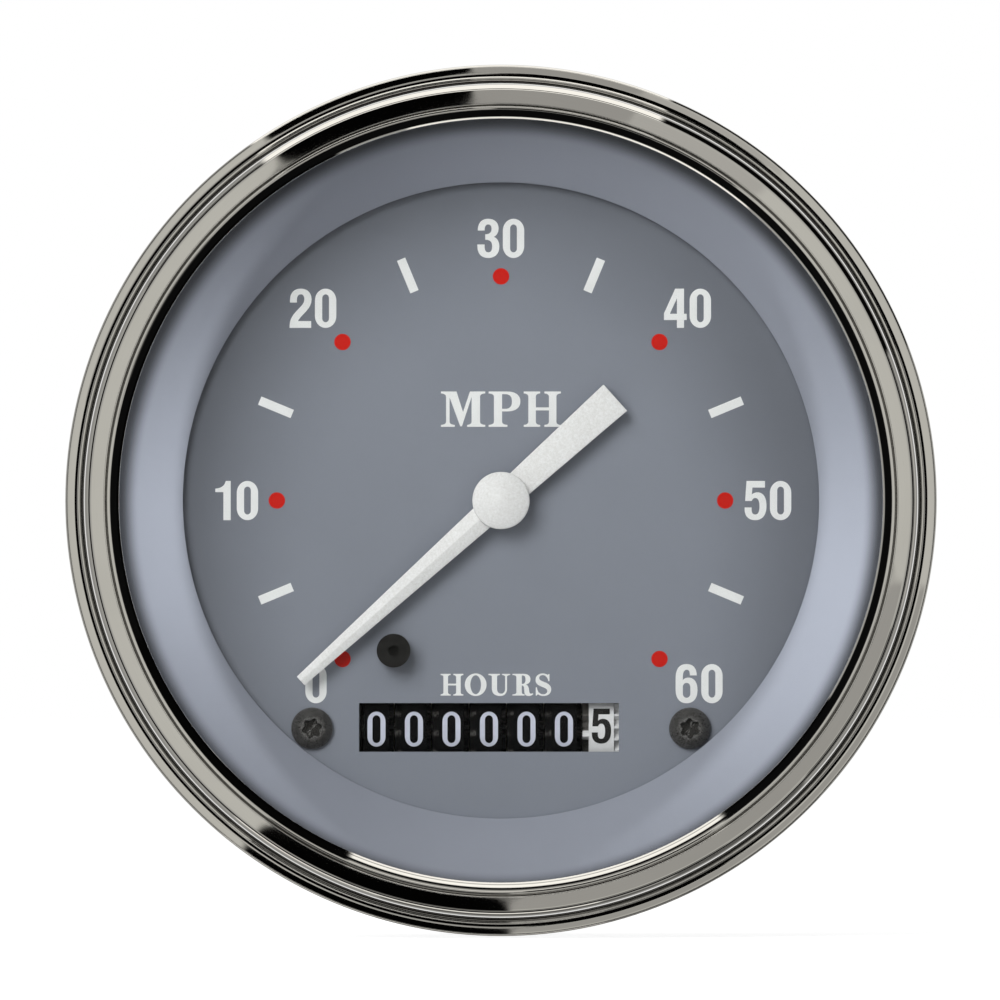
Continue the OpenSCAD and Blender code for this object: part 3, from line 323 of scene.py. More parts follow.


# Finishes of the material slots, with painted shade and dark reflections in the recesses of the bezel
PAINTED_RECESS_SHADE = [(41.35, 0.04, 0.35), (42.62, 0.03, 0.30), (45.05, 0.13, 0.12), (45.82, 0.12, 0.05)]
MATERIALS = {
    "bright_metal": polished_metal("nickel", (0.80, 0.79, 0.77), 0.02, PAINTED_RECESS_SHADE),
    "clear_glass": clear_pane("pane", (0.985, 0.99, 0.99), 0.02, 0.12),
    "seal_rubber": surface("seal_rubber", (0.03, 0.03, 0.03), 0.7, grain=0.2),
    # The visor's rim is darkened as painted shade under the bezel's lip, a little more at the top
    "visor_paint": surface("visor_paint", (0.320, 0.337, 0.392), 0.40, metallic=0.08, grain=0.09,
                           tint=0.05, vary=0.04, bump=0.003, blotch=20, blotch_tint=0.02,
                           painted_rim_shade=(39.0, 41.0, 0.14, 0.5, 0.9875)),
    # The dial is darkened at its left, right and top rim as painted shade from the visor's walls; its
    # bottom stays light
    "dial_paint": surface("dial_paint", (0.237, 0.254, 0.295), 0.5, grain=0.10, tint=0.05, vary=0.05,
                          bump=0.003, blotch=25, blotch_tint=0.03, painted_rim_shade=(20.0, 35.0, 0.64, 6.5, 0.76)),
    "pointer_paint": surface("pointer_paint", (0.92, 0.90, 0.855), 0.62, grain=0.24, tint=0.26, vary=0.08,
                             bump=0.05, blotch=5, blotch_tint=0.02),
    # The screw heads' scuffed corners are lightened as a painted highlight on their rims and socket edges
    "black_steel": surface("black_oxide", (0.026, 0.0245, 0.023), 0.30, grain=0.12, tint=0.3, vary=0.08,
                           bump=0.012, specular=0.35, blotch=1.5, blotch_tint=0.2,
                           wear_and_highlight=(1.0, (0.17, 0.165, 0.16))),
    "zinc_steel": surface("zinc_case", (0.60, 0.61, 0.63), 0.36, metallic=1.0, grain=0.25, tint=0.06,
                          vary=0.06, bump=0.006, blotch=5, blotch_tint=0.035, rings=True),
    "plain_steel": surface("zinc_fixings", (0.66, 0.67, 0.69), 0.28, metallic=1.0, grain=0.12, tint=0.06,
                           vary=0.08, bump=0.004, blotch=2, blotch_tint=0.08),
    "passivated_steel": surface("passivated", (0.62, 0.50, 0.24), 0.36, metallic=1.0, grain=0.3, tint=0.12,
                                vary=0.08, bump=0.005, blotch=4, blotch_tint=0.15),
    "can_steel": surface("nickel_can", (0.58, 0.57, 0.55), 0.3, metallic=1.0, grain=0.2, blotch=3),
    "bobbin_plastic": surface("nylon", (0.78, 0.74, 0.63), 0.45, grain=0.2, bump=0.006),
    "copper_wire": surface("enamelled_copper", (0.62, 0.25, 0.09), 0.3, metallic=0.9, grain=0.12, tint=0.2,
                           bump=0.03),
    "bush_brass": surface("turned_brass", (0.72, 0.54, 0.24), 0.28, metallic=1.0, grain=0.1),
    "terminal_brass": surface("tinned_brass", (0.70, 0.60, 0.40), 0.32, metallic=1.0, grain=0.2, tint=0.1,
                              blotch=2, blotch_tint=0.1),
    "board_laminate": surface("solder_mask", (0.035, 0.17, 0.07), 0.4, grain=0.4, tint=0.15, bump=0.01,
                              coat=0.3),
    "component_sleeve": surface("shrunk_sleeve", (0.03, 0.05, 0.17), 0.3, grain=0.3),
    "component_black": surface("moulded_chip", (0.022, 0.022, 0.024), 0.6, grain=0.08, bump=0.008),
    "block_plastic": surface("black_nylon", (0.028, 0.028, 0.030), 0.5, grain=0.12, tint=0.2, vary=0.08,
                             bump=0.012, blotch=4, blotch_tint=0.1),
    "bulb_glass": clear_pane("bulb_glass", (0.99, 0.98, 0.95), 0.03, 1.0),
    # The black drums have painted glints on the teeth between them
    "drum_black": surface("drum_black", (0.004, 0.004, 0.0045), 0.5, grain=0.1, tint=0.3, bump=0.008,
                          specular=0.08, speck=(0.16, 0.26, (0.05, 0.05, 0.047)), paint=rubbed_teeth),
    # The white drum has painted shade on its carry disc
    "drum_white": surface("drum_white", (0.80, 0.80, 0.80), 0.45, grain=0.12, tint=0.05, bump=0.006,
                          blotch=2, paint=dark_carry_disc),
    "gear_plastic": surface("acetal", (0.70, 0.68, 0.60), 0.4, grain=0.15, bump=0.005),
    "ferrite": surface("ferrite", (0.055, 0.055, 0.06), 0.55, metallic=0.2, grain=0.15, tint=0.2,
                       bump=0.01),
}
INK = {
    "white": surface("white_ink", (0.86, 0.865, 0.85), 0.5, grain=0.14, tint=0.05, vary=0.06, bump=0.004,
                     blotch=3, blotch_tint=0.03),
    "red": surface("red_ink", (0.62, 0.014, 0.008), 0.6, specular=0.2, grain=0.14, tint=0.1, vary=0.06,
                   bump=0.004, blotch=2),
    "pale": surface("drum_ink", (0.625, 0.645, 0.75), 0.5, grain=0.10, tint=0.06, bump=0.003, blotch=1.5),
    "black": surface("black_ink", (0.012, 0.012, 0.012), 0.45, grain=0.10, tint=0.3, bump=0.003),
}

# Finishes of single nodes that differ from the rest of their slot
OWN_FINISH = {
    "counter_frame": surface("blackened_frame", (0.035, 0.035, 0.036), 0.45, metallic=0.5, grain=0.2,
                             tint=0.2, bump=0.005),
    "pointer_stop": surface("black_sleeve", (0.013, 0.0125, 0.012), 0.5, grain=0.25, tint=0.5, vary=0.1,
                            bump=0.02, specular=0.35, blotch=1.2, blotch_tint=0.2),
}


# Meshes


def finish_mesh(name, bm, material, body, sharp=32.0, weld=1e-5):
    bmesh.ops.remove_doubles(bm, verts=bm.verts, dist=weld)
    bmesh.ops.recalc_face_normals(bm, faces=bm.faces)
    me = bpy.data.meshes.new(name)
    bm.to_mesh(me)
    bm.free()
    me.transform(Matrix.Rotation(math.pi / 2, 4, "X") @ Matrix.Scale(MM, 4))
    me.shade_smooth()
    me.set_sharp_from_angle(angle=math.radians(sharp))
    me.materials.append(material)
    ob = bpy.data.objects.new(name, me)
    bpy.context.scene.collection.objects.link(ob)
    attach(ob, body)
    return ob


def add_lathe(bm, profile, segments, loop=True, turn=None):
    """Turns a list of (radius, height) about the axis; turn(index, radius, angle) may change a radius."""
    rings = []
    for i, (r, z) in enumerate(profile):
        ring = []
        for s in range(segments):
            a = 2 * math.pi * s / segments
            rr = turn(i, r, a) if turn else r
            ring.append(bm.verts.new((rr * math.cos(a), rr * math.sin(a), z)))
        rings.append(ring)
    pairs = list(zip(rings, rings[1:])) + ([(rings[-1], rings[0])] if loop else [])
    for low, high in pairs:
        for s in range(segments):
            t = (s + 1) % segments
            bm.faces.new((low[s], low[t], high[t], high[s]))
    if not loop:
        bm.faces.new(rings[0])
        bm.faces.new(rings[-1])


def arc(cx, cz, r, start, end, steps):
    turns = [polar(r, start + (end - start) * i / steps) for i in range(steps + 1)]
    return [(cx + x, cz + z) for x, z in turns]


def add_prism(bm, contours, z0, z1):
    """A flat piece with an outer contour and holes, from z0 to z1."""
    flat = [p for c in contours for p in c]
    tris = tessellate_polygon([[Vector((x, y, 0)) for x, y in c] for c in contours])
    low = [bm.verts.new((x, y, z0)) for x, y in flat]
    high = [bm.verts.new((x, y, z1)) for x, y in flat]
    for t in tris:
        bm.faces.new([high[i] for i in t])
        bm.faces.new([low[i] for i in reversed(t)])
    start = 0
    for c in contours:
        n = len(c)
        for i in range(n):
            j = (i + 1) % n
            bm.faces.new((low[start + i], low[start + j], high[start + j], high[start + i]))
        start += n


def bar(sections):
    """A closed bar through lists of (x, y, z), one list for each end."""
    bm = bmesh.new()
    rings = [[bm.verts.new(p) for p in s] for s in sections]
    n = len(rings[0])
    for low, high in zip(rings, rings[1:]):
        for i in range(n):
            bm.faces.new((low[i], low[(i + 1) % n], high[(i + 1) % n], high[i]))
    bm.faces.new(rings[0])
    bm.faces.new(rings[-1])
    bmesh.ops.recalc_face_normals(bm, faces=bm.faces)
    return bm


def soften(bm, width, segments=2, sharp=20.0):
    edges = [e for e in bm.edges if len(e.link_faces) == 2 and math.degrees(e.calc_face_angle(0)) > sharp]
    bmesh.ops.bevel(bm, geom=edges, offset=width, segments=segments, affect="EDGES", profile=0.6,
                    clamp_overlap=True)


def merge(target, part, turn=0.0, move=(0, 0, 0)):
    part.transform(Matrix.Translation(move) @ Matrix.Rotation(turn, 4, "Z"))
    holder = bpy.data.meshes.new("holder")
    part.to_mesh(holder)
    part.free()
    target.from_mesh(holder)
    bpy.data.meshes.remove(holder)


# Bezel: the stepped section, with the groove inside the rim and the fine bead inside the crown
RING_SEGMENTS = 240


def bezel_profile():
    crown_turn, crown_r = 80, 7.79
    shoulder_x, shoulder_z, shoulder_r = 43.78, 5.645, 1.15
    across, up = polar(shoulder_r, crown_turn)
    crown_across, crown_up = polar(crown_r, crown_turn)
    crown_x, crown_z = shoulder_x + across - crown_across, shoulder_z + up - crown_up
    points = [(43.3, 0.0), (45.0, 0.0)]
    points += arc(46.58, 0.4, 0.4, -90, 0, 10)
    points += arc(46.58, 1.18, 0.4, 0, 72, 12)
    points += arc(46.10, -0.341, 1.99, 72.5, 94.3, 8)
    points += [(45.93, 1.50), (45.90, 1.30), (45.80, 1.24), (45.73, 1.40)]
    points += arc(45.45, 1.75, 0.28, -10, 184, 20)
    points += [(45.165, 1.56), (45.13, 1.50), (44.97, 1.50), (44.94, 1.62), (44.93, 2.2), (44.93, 5.2)]
    points += arc(shoulder_x, shoulder_z, shoulder_r, 0, crown_turn, 18)
    points += arc(crown_x, crown_z, crown_r, crown_turn, 88.8, 8)[1:]
    points += arc(42.72, 6.79, 0.09, 60, 180, 6)
    points += [(42.62, 6.66), (42.60, 6.58)]
    points += arc(42.25, 6.48, 0.34, 12, 118.8, 14)
    points += [(41.74, 6.59), (41.68, 6.555), (41.40, 6.38), (41.335, 6.339), (41.33, 5.66),
               (41.16, 5.532), (41.14, 5.517), (41.105, 5.46)]
    points += arc(41.5, 5.3, 0.4, 180, 270, 10)
    points += [(42.4, 4.9), (44.45, 4.9), (44.45, 0.6), (43.3, 0.6)]
    return points


bm = bmesh.new()
add_lathe(bm, bezel_profile(), RING_SEGMENTS)
bezel = finish_mesh("bezel_ring", bm, MATERIALS["bright_metal"], "instrument", sharp=40)
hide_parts("bezel")

# Visor ring: a smooth funnel with softened edges
VISOR_PROFILE = [(41.1, 2.02), (41.18, 2.1), (44.15, 2.1), (44.15, 1.4), (41.55, 1.4), (41.55, 0.4),
                 (35.46, -5.06), (35.46, -6.40), (35.42, -6.44), (34.39, -6.44), (34.35, -6.40),
                 (34.35, -4.98), (34.44, -4.88)]
bm = bmesh.new()
add_lathe(bm, VISOR_PROFILE, RING_SEGMENTS)
visor = finish_mesh("visor_funnel", bm, MATERIALS["visor_paint"], "instrument", sharp=40)
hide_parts("visor_ring")


# Numerals and words, each drawn as outlines on a height of one: two numbers are a line, six a curve


def outline(path, steps=9):
    points = []
    for part in path:
        if len(part) == 2:
            points.append(part)
            continue
        x0, y0 = points[-1]
        x1, y1, x2, y2, x3, y3 = part
        for i in range(1, steps + 1):
            t = i / steps
            u = 1 - t
            points.append((u ** 3 * x0 + 3 * u * u * t * x1 + 3 * u * t * t * x2 + t ** 3 * x3,
                           u ** 3 * y0 + 3 * u * u * t * y1 + 3 * u * t * t * y2 + t ** 3 * y3))
    return [p for i, p in enumerate(points) if math.dist(p, points[i - 1]) > 1e-4]


def stadium(cx, cy, rx, ry, straight):
    """A tall loop with curved ends and straight sides."""
    k = 0.5523
    e = ry - straight
    return [(cx + rx, cy - straight), (cx + rx, cy + straight),
            (cx + rx, cy + straight + k * e, cx + k * rx, cy + ry, cx, cy + ry),
            (cx - k * rx, cy + ry, cx - rx, cy + straight + k * e, cx - rx, cy + straight),
            (cx - rx, cy - straight),
            (cx - rx, cy - straight - k * e, cx - k * rx, cy - ry, cx, cy - ry),
            (cx + k * rx, cy - ry, cx + rx, cy - straight - k * e, cx + rx, cy - straight)]


SIX = [[(0.54, 0.71), (0.54, 0.90, 0.44, 1.0, 0.28, 1.0), (0.08, 1.0, 0, 0.86, 0, 0.62), (0, 0.36),
        (0, 0.13, 0.10, 0, 0.28, 0), (0.46, 0, 0.56, 0.13, 0.56, 0.34),
        (0.56, 0.54, 0.47, 0.655, 0.33, 0.655), (0.26, 0.655, 0.21, 0.63, 0.185, 0.585), (0.185, 0.66),
        (0.185, 0.79, 0.22, 0.855, 0.285, 0.855), (0.34, 0.855, 0.365, 0.81, 0.365, 0.71)],
       stadium(0.28, 0.33, 0.095, 0.19, 0.09)]
GLYPHS = {
    "0": [stadium(0.2725, 0.5, 0.2725, 0.5, 0.20), stadium(0.2725, 0.5, 0.0865, 0.355, 0.255)],
    "1": [[(0.205, 0), (0.205, 0.715), (0.0, 0.715), (0.0, 0.805), (0.16, 0.815, 0.24, 0.88, 0.265, 1.0),
           (0.392, 1.0), (0.392, 0)]],
    "2": [[(0, 0), (0.55, 0), (0.55, 0.173), (0.215, 0.173), (0.28, 0.33, 0.56, 0.47, 0.56, 0.72),
           (0.56, 0.90, 0.45, 1.0, 0.285, 1.0), (0.12, 1.0, 0.01, 0.90, 0.01, 0.70), (0.01, 0.645),
           (0.185, 0.645), (0.185, 0.70), (0.185, 0.80, 0.22, 0.855, 0.285, 0.855),
           (0.35, 0.855, 0.375, 0.80, 0.375, 0.72), (0.375, 0.52, 0.0, 0.40, 0.0, 0.06)]],
    "3": [[(0.01, 0.70), (0.01, 0.90, 0.11, 1.0, 0.275, 1.0), (0.43, 1.0, 0.54, 0.91, 0.54, 0.76),
           (0.54, 0.64, 0.49, 0.575, 0.42, 0.54), (0.51, 0.50, 0.56, 0.42, 0.56, 0.29),
           (0.56, 0.10, 0.44, 0, 0.28, 0), (0.10, 0, 0, 0.11, 0, 0.30), (0, 0.345), (0.185, 0.345),
           (0.185, 0.28), (0.185, 0.19, 0.22, 0.145, 0.28, 0.145),
           (0.345, 0.145, 0.375, 0.20, 0.375, 0.30), (0.375, 0.41, 0.33, 0.465, 0.20, 0.465),
           (0.20, 0.605), (0.32, 0.605, 0.36, 0.66, 0.36, 0.745), (0.36, 0.82, 0.325, 0.855, 0.275, 0.855),
           (0.22, 0.855, 0.185, 0.81, 0.185, 0.72), (0.185, 0.70)]],
    "4": [[(0.33, 0), (0.51, 0), (0.51, 0.20), (0.58, 0.20), (0.58, 0.36), (0.51, 0.36), (0.51, 1.0),
           (0.285, 1.0), (0, 0.37), (0, 0.20), (0.33, 0.20)],
          [(0.33, 0.36), (0.33, 0.755), (0.15, 0.36)]],
    "5": [[(0.05, 1.0), (0.52, 1.0), (0.52, 0.83), (0.20, 0.83), (0.185, 0.655),
           (0.22, 0.69, 0.28, 0.71, 0.33, 0.71), (0.48, 0.71, 0.56, 0.58, 0.56, 0.36),
           (0.56, 0.13, 0.45, 0, 0.275, 0), (0.10, 0, 0, 0.10, 0, 0.29), (0, 0.325), (0.18, 0.325),
           (0.18, 0.27), (0.18, 0.18, 0.215, 0.145, 0.275, 0.145), (0.345, 0.145, 0.38, 0.21, 0.38, 0.36),
           (0.38, 0.50, 0.34, 0.565, 0.275, 0.565), (0.235, 0.565, 0.20, 0.54, 0.185, 0.49),
           (0.015, 0.49)]],
    "6": SIX,
    "7": [[(0, 1.0), (0.55, 1.0), (0.55, 0.86), (0.40, 0.62, 0.31, 0.33, 0.28, 0), (0.085, 0),
           (0.11, 0.33, 0.21, 0.62, 0.355, 0.83), (0, 0.83)]],
    "8": [[(0.28, 1.0), (0.44, 1.0, 0.545, 0.90, 0.545, 0.75), (0.545, 0.64, 0.50, 0.57, 0.43, 0.53),
           (0.515, 0.49, 0.56, 0.41, 0.56, 0.28), (0.56, 0.10, 0.45, 0, 0.28, 0),
           (0.11, 0, 0, 0.10, 0, 0.28), (0, 0.41, 0.045, 0.49, 0.13, 0.53),
           (0.06, 0.57, 0.015, 0.64, 0.015, 0.75), (0.015, 0.90, 0.12, 1.0, 0.28, 1.0)],
          stadium(0.28, 0.735, 0.085, 0.125, 0.04), stadium(0.28, 0.295, 0.095, 0.155, 0.06)],
    "9": [[tuple(0.56 - v if i % 2 == 0 else 1 - v for i, v in enumerate(part)) for part in loop]
          for loop in SIX],
    "M": [[(0, 1.0), (0.44, 1.0), (0.625, 0.42), (0.82, 1.0), (1.254, 1.0), (1.254, 0.945),
           (1.18, 0.94, 1.106, 0.92, 1.106, 0.85), (1.106, 0.15), (1.106, 0.08, 1.18, 0.06, 1.254, 0.055),
           (1.254, 0), (0.742, 0), (0.742, 0.055), (0.80, 0.06, 0.866, 0.08, 0.866, 0.15), (0.866, 0.84),
           (0.595, 0.015), (0.545, 0.015), (0.245, 0.83), (0.245, 0.15),
           (0.245, 0.08, 0.32, 0.06, 0.39, 0.055), (0.39, 0), (0, 0), (0, 0.055),
           (0.07, 0.06, 0.145, 0.08, 0.145, 0.15), (0.145, 0.85), (0.145, 0.92, 0.07, 0.94, 0, 0.945)]],
    "P": [[(0, 1.0), (0.52, 1.0), (0.80, 1.0, 0.90, 0.87, 0.90, 0.72),
           (0.90, 0.55, 0.78, 0.435, 0.52, 0.435), (0.382, 0.435), (0.382, 0.15),
           (0.382, 0.08, 0.46, 0.06, 0.534, 0.055), (0.534, 0), (0, 0), (0, 0.055),
           (0.08, 0.06, 0.152, 0.08, 0.152, 0.15), (0.152, 0.85), (0.152, 0.92, 0.08, 0.94, 0, 0.945)],
          [(0.382, 0.925), (0.46, 0.925), (0.60, 0.925, 0.66, 0.86, 0.66, 0.72),
           (0.66, 0.57, 0.60, 0.51, 0.46, 0.51), (0.382, 0.51)]],
    "H": [[(0, 1), (0.466, 1), (0.466, 0.945), (0.40, 0.94, 0.343, 0.92, 0.343, 0.85), (0.343, 0.55),
           (0.714, 0.55), (0.714, 0.85), (0.714, 0.92, 0.65, 0.94, 0.585, 0.945), (0.585, 1), (1.05, 1),
           (1.05, 0.945), (0.98, 0.94, 0.926, 0.92, 0.926, 0.85), (0.926, 0.15),
           (0.926, 0.08, 0.98, 0.06, 1.05, 0.055), (1.05, 0), (0.585, 0), (0.585, 0.055),
           (0.65, 0.06, 0.714, 0.08, 0.714, 0.15), (0.714, 0.465), (0.343, 0.465), (0.343, 0.15),
           (0.343, 0.08, 0.40, 0.06, 0.466, 0.055), (0.466, 0), (0, 0), (0, 0.055),
           (0.07, 0.06, 0.13, 0.08, 0.13, 0.15), (0.13, 0.85), (0.13, 0.92, 0.07, 0.94, 0, 0.945)]],
    "O": [stadium(0.5, 0.5, 0.5, 0.52, 0.0), stadium(0.5, 0.5, 0.245, 0.435, 0.0)],
    "U": [[(0, 1), (0.53, 1), (0.53, 0.945), (0.45, 0.94, 0.40, 0.92, 0.40, 0.86), (0.40, 0.33),
           (0.40, 0.18, 0.46, 0.09, 0.585, 0.09), (0.70, 0.09, 0.77, 0.18, 0.77, 0.33), (0.77, 0.86),
           (0.77, 0.92, 0.70, 0.94, 0.63, 0.945), (0.63, 1), (1.0, 1), (1.0, 0.945),
           (0.93, 0.94, 0.86, 0.92, 0.86, 0.86), (0.86, 0.33), (0.86, 0.12, 0.75, -0.02, 0.54, -0.02),
           (0.30, -0.02, 0.16, 0.10, 0.16, 0.33), (0.16, 0.86), (0.16, 0.92, 0.08, 0.94, 0, 0.945)]],
    "R": [[(0, 1), (0.50, 1), (0.72, 1, 0.83, 0.90, 0.83, 0.74), (0.83, 0.62, 0.75, 0.54, 0.62, 0.51),
           (0.74, 0.46, 0.75, 0.36, 0.77, 0.22), (0.78, 0.10, 0.82, 0.06, 0.94, 0.11), (0.96, 0.07),
           (0.88, -0.01, 0.80, -0.02, 0.74, -0.02), (0.60, -0.02, 0.55, 0.06, 0.54, 0.20),
           (0.535, 0.38, 0.53, 0.465, 0.43, 0.465), (0.43, 0.15), (0.43, 0.08, 0.50, 0.06, 0.56, 0.055),
           (0.56, 0), (0, 0), (0, 0.055), (0.10, 0.06, 0.18, 0.08, 0.18, 0.15), (0.18, 0.85),
           (0.18, 0.92, 0.10, 0.94, 0, 0.945)],
          [(0.43, 0.925), (0.47, 0.925), (0.56, 0.925, 0.60, 0.86, 0.60, 0.74),
           (0.60, 0.62, 0.56, 0.54, 0.47, 0.54), (0.43, 0.54)]],
    "S": [[(0.66, 0.99), (0.66, 0.66), (0.61, 0.66), (0.58, 0.83, 0.48, 0.94, 0.36, 0.94),
           (0.26, 0.94, 0.19, 0.89, 0.19, 0.81), (0.19, 0.70, 0.34, 0.66, 0.46, 0.61),
           (0.62, 0.54, 0.74, 0.46, 0.74, 0.29), (0.74, 0.10, 0.59, -0.02, 0.38, -0.02),
           (0.27, -0.02, 0.20, 0.02, 0.12, 0.06), (0.08, 0), (0.03, 0), (0.03, 0.38), (0.08, 0.38),
           (0.11, 0.17, 0.22, 0.06, 0.37, 0.06), (0.48, 0.06, 0.56, 0.12, 0.56, 0.21),
           (0.56, 0.32, 0.42, 0.36, 0.30, 0.41), (0.13, 0.48, 0.02, 0.55, 0.02, 0.72),
           (0.02, 0.90, 0.16, 1.02, 0.34, 1.02), (0.44, 1.02, 0.52, 0.99, 0.58, 0.95), (0.62, 0.99)]],
}
INK_RISE, INK_SINK = 0.03, 0.02


def thinned(loops, inset):
    """The same glyph at its old height, with its outer edges moved in and its holes moved out."""
    result = []
    for k, loop in enumerate(loops):
        area = sum(a[0] * b[1] - b[0] * a[1] for a, b in zip(loop, loop[1:] + loop[:1]))
        side = math.copysign(inset, area if k == 0 else -area)
        moved = []
        for i, here in enumerate(loop):
            before, after = Vector(loop[i - 1]), Vector(loop[(i + 1) % len(loop)])
            first = (Vector(here) - before).normalized()
            second = (after - Vector(here)).normalized()
            normal = Vector((-first.y - second.y, first.x + second.x)).normalized()
            reach = side / max(0.4, normal.dot(Vector((-first.y, first.x))))
            moved.append(((here[0] + normal.x * reach - inset) / (1 - 2 * inset),
                          (here[1] + normal.y * reach - inset) / (1 - 2 * inset)))
        result.append(moved)
    return result


def dial_mm(px, py):
    return (px - DIAL_PX[0]) * PX, (DIAL_PX[1] - py) * PX


def add_ink(bm, contours):
    add_prism(bm, contours, Z_DIAL - INK_SINK, Z_DIAL + INK_RISE)


def add_glyph(bm, name, px, py, high):
    left, base = dial_mm(px, py)
    height = high * PX
    add_ink(bm, [[(left + x * height, base + y * height) for x, y in outline(loop)]
                 for loop in GLYPHS[name]])


# Printing on the dial: each mark by the pixel of its left foot, and its height in pixels
NUMERALS = [("3", 477.4, 258.0), ("0", 502.9, 258.0), ("2", 289.3, 328.0), ("0", 314.7, 328.0),
            ("4", 664.3, 328.0), ("0", 690.0, 328.0), ("1", 214.9, 520.6), ("0", 236.4, 520.6),
            ("5", 745.0, 520.6), ("0", 770.4, 520.6), ("6", 675.9, 704.0), ("0", 701.6, 704.0),
            ("0", 305.0, 704.0)]
NUMERAL_H = 39.3
WORDS = [("M", 440.9, 427.1, 35.4), ("P", 488.6, 427.1, 35.4), ("H", 523.8, 427.1, 35.4),
         ("H", 440.5, 696.3, 21.8), ("O", 464.8, 696.3, 21.8), ("U", 488.4, 696.3, 21.8),
         ("R", 512.5, 696.3, 21.8), ("S", 535.2, 696.3, 21.8)]

# Ticks and dots: angles in degrees; ends and half width of a tick; middle, radius and points of a dot
TICK_ANGLES = (22.5, -22.5, 67.5, 112.5, 157.5, 202.5)
TICK_IN, TICK_OUT, TICK_HALF = 24.4, 28.2, 0.48
DOT_ANGLES = (-45, 0, 45, 90, 135, 180, 225)
DOT_AT, DOT_R, DOT_POINTS = 24.2, 0.885, 48

bm = bmesh.new()
for digit, px, py in NUMERALS:
    add_glyph(bm, digit, px, py, NUMERAL_H)
finish_mesh("dial_numerals", bm, INK["white"], "instrument", sharp=20)

bm = bmesh.new()
for letter, px, py, high in WORDS:
    add_glyph(bm, letter, px, py, high)
finish_mesh("dial_words", bm, INK["white"], "instrument", sharp=20)

bm = bmesh.new()
for angle in TICK_ANGLES:
    along, across = Vector(polar(1, angle)), Vector(polar(1, angle + 90))
    corners = [(TICK_IN, -TICK_HALF), (TICK_OUT, -TICK_HALF), (TICK_OUT, TICK_HALF), (TICK_IN, TICK_HALF)]
    add_ink(bm, [[tuple(along * r + across * side) for r, side in corners]])
finish_mesh("dial_ticks", bm, INK["white"], "instrument", sharp=20)

bm = bmesh.new()
for angle in DOT_ANGLES:
    cx, cy = polar(DOT_AT, angle)
    add_ink(bm, [arc(cx, cy, DOT_R, 0, 360, DOT_POINTS)[:-1]])
finish_mesh("dial_dots", bm, INK["red"], "instrument", sharp=20)

# Numerals round the drums: the next figure stands above the one that shows
DRUMS = ["drum_hundred_thousands", "drum_ten_thousands", "drum_thousands", "drum_hundreds", "drum_tens",
         "drum_units", "drum_tenths"]
SHOWN = [0, 0, 0, 0, 0, 0, 4.93]
DRUM_DIGIT_H = 3.8
DRUM_THIN, LAST_DRUM_THIN, DRUM_WIDEN = 0.024, 0.004, 0.985
DRUM_CUTS = 16
DIGIT_STEP, READ_LINE = math.radians(36), math.radians(-1.5)


def drum_digit(digit, inset, x, turn):
    """One figure, cut into strips and bent round its drum."""
    loops = thinned([outline(loop) for loop in GLYPHS[str(digit)]], inset)
    across = [p[0] for loop in loops for p in loop]
    middle = (max(across) + min(across)) / 2
    part = bmesh.new()
    add_prism(part, [[((px - middle) * DRUM_WIDEN * DRUM_DIGIT_H, (py - 0.5) * DRUM_DIGIT_H)
                      for px, py in loop] for loop in loops], -INK_SINK, INK_RISE)
    for i in range(1, DRUM_CUTS):
        level = (i / DRUM_CUTS - 0.5) * DRUM_DIGIT_H
        bmesh.ops.bisect_plane(part, geom=part.verts[:] + part.edges[:] + part.faces[:], dist=1e-5,
                               plane_co=(0, level, 0), plane_no=(0, 1, 0))
    for v in part.verts:
        a = turn + v.co.y / DRUM_R
        r = DRUM_R + v.co.z
        v.co = (x + v.co.x, DRUM_Y + r * math.sin(a), DRUM_Z + r * math.cos(a))
    return part


for index, name in enumerate(DRUMS):
    bm = bmesh.new()
    last = index == len(DRUMS) - 1
    drum_x = DRUM_MID_X + (index - len(DRUMS) // 2) * DRUM_PITCH
    for digit in range(10):
        turn = DIGIT_STEP * (digit - SHOWN[index]) + READ_LINE
        merge(bm, drum_digit(digit, LAST_DRUM_THIN if last else DRUM_THIN, drum_x, turn))
    finish_mesh(name + "_figures", bm, INK["black" if last else "pale"], name,
                sharp=30, weld=2e-4)


# Pointer: ridged blade, flat tail and hub, with softened edges, and the low cone of the cap
BLADE_L, BLADE_ROOT_W, BLADE_TIP_W, BLADE_EDGE, RIDGE_SLOPE = 29.1, 2.9, 1.24, 0.5, 0.28
TAIL_L, TAIL_ROOT_HALF, TAIL_END_HALF, TAIL_T = 16.6, 1.45, 1.91, 0.985
BLADE_SOFT, TAIL_SOFT = 0.05, 0.09
HUB_PROFILE = [(0.77, Z_CAP - 0.03), (2.83, Z_CAP - 0.03), (2.95, Z_CAP - 0.15), (2.95, Z_BLADE),
               (2.0, Z_BLADE), (2.0, Z_BLADE - 1.1), (1.9, Z_BLADE - 1.2), (0.77, Z_BLADE - 1.2)]
CAP_PROFILE = [(2.9, 0), (3.04, 0.05), (3.1, 0.16), (3.1, 0.34), (3.07, 0.44), (2.98, 0.50), (2.0, 0.82),
               (1.0, 1.12), (0.5, 1.25), (0.2, 1.295)]
TURNED_SEGMENTS = 72


def blade_section(x, w):
    ridge = BLADE_EDGE + RIDGE_SLOPE * w / 2
    return [(x, -w / 2, 0), (x, w / 2, 0), (x, w / 2, BLADE_EDGE), (x, 0, ridge), (x, -w / 2, BLADE_EDGE)]


def tail_section(x, half):
    low, high = BLADE_EDGE - TAIL_T, BLADE_EDGE
    return [(x, -half, low), (x, half, low), (x, half, high), (x, -half, high)]


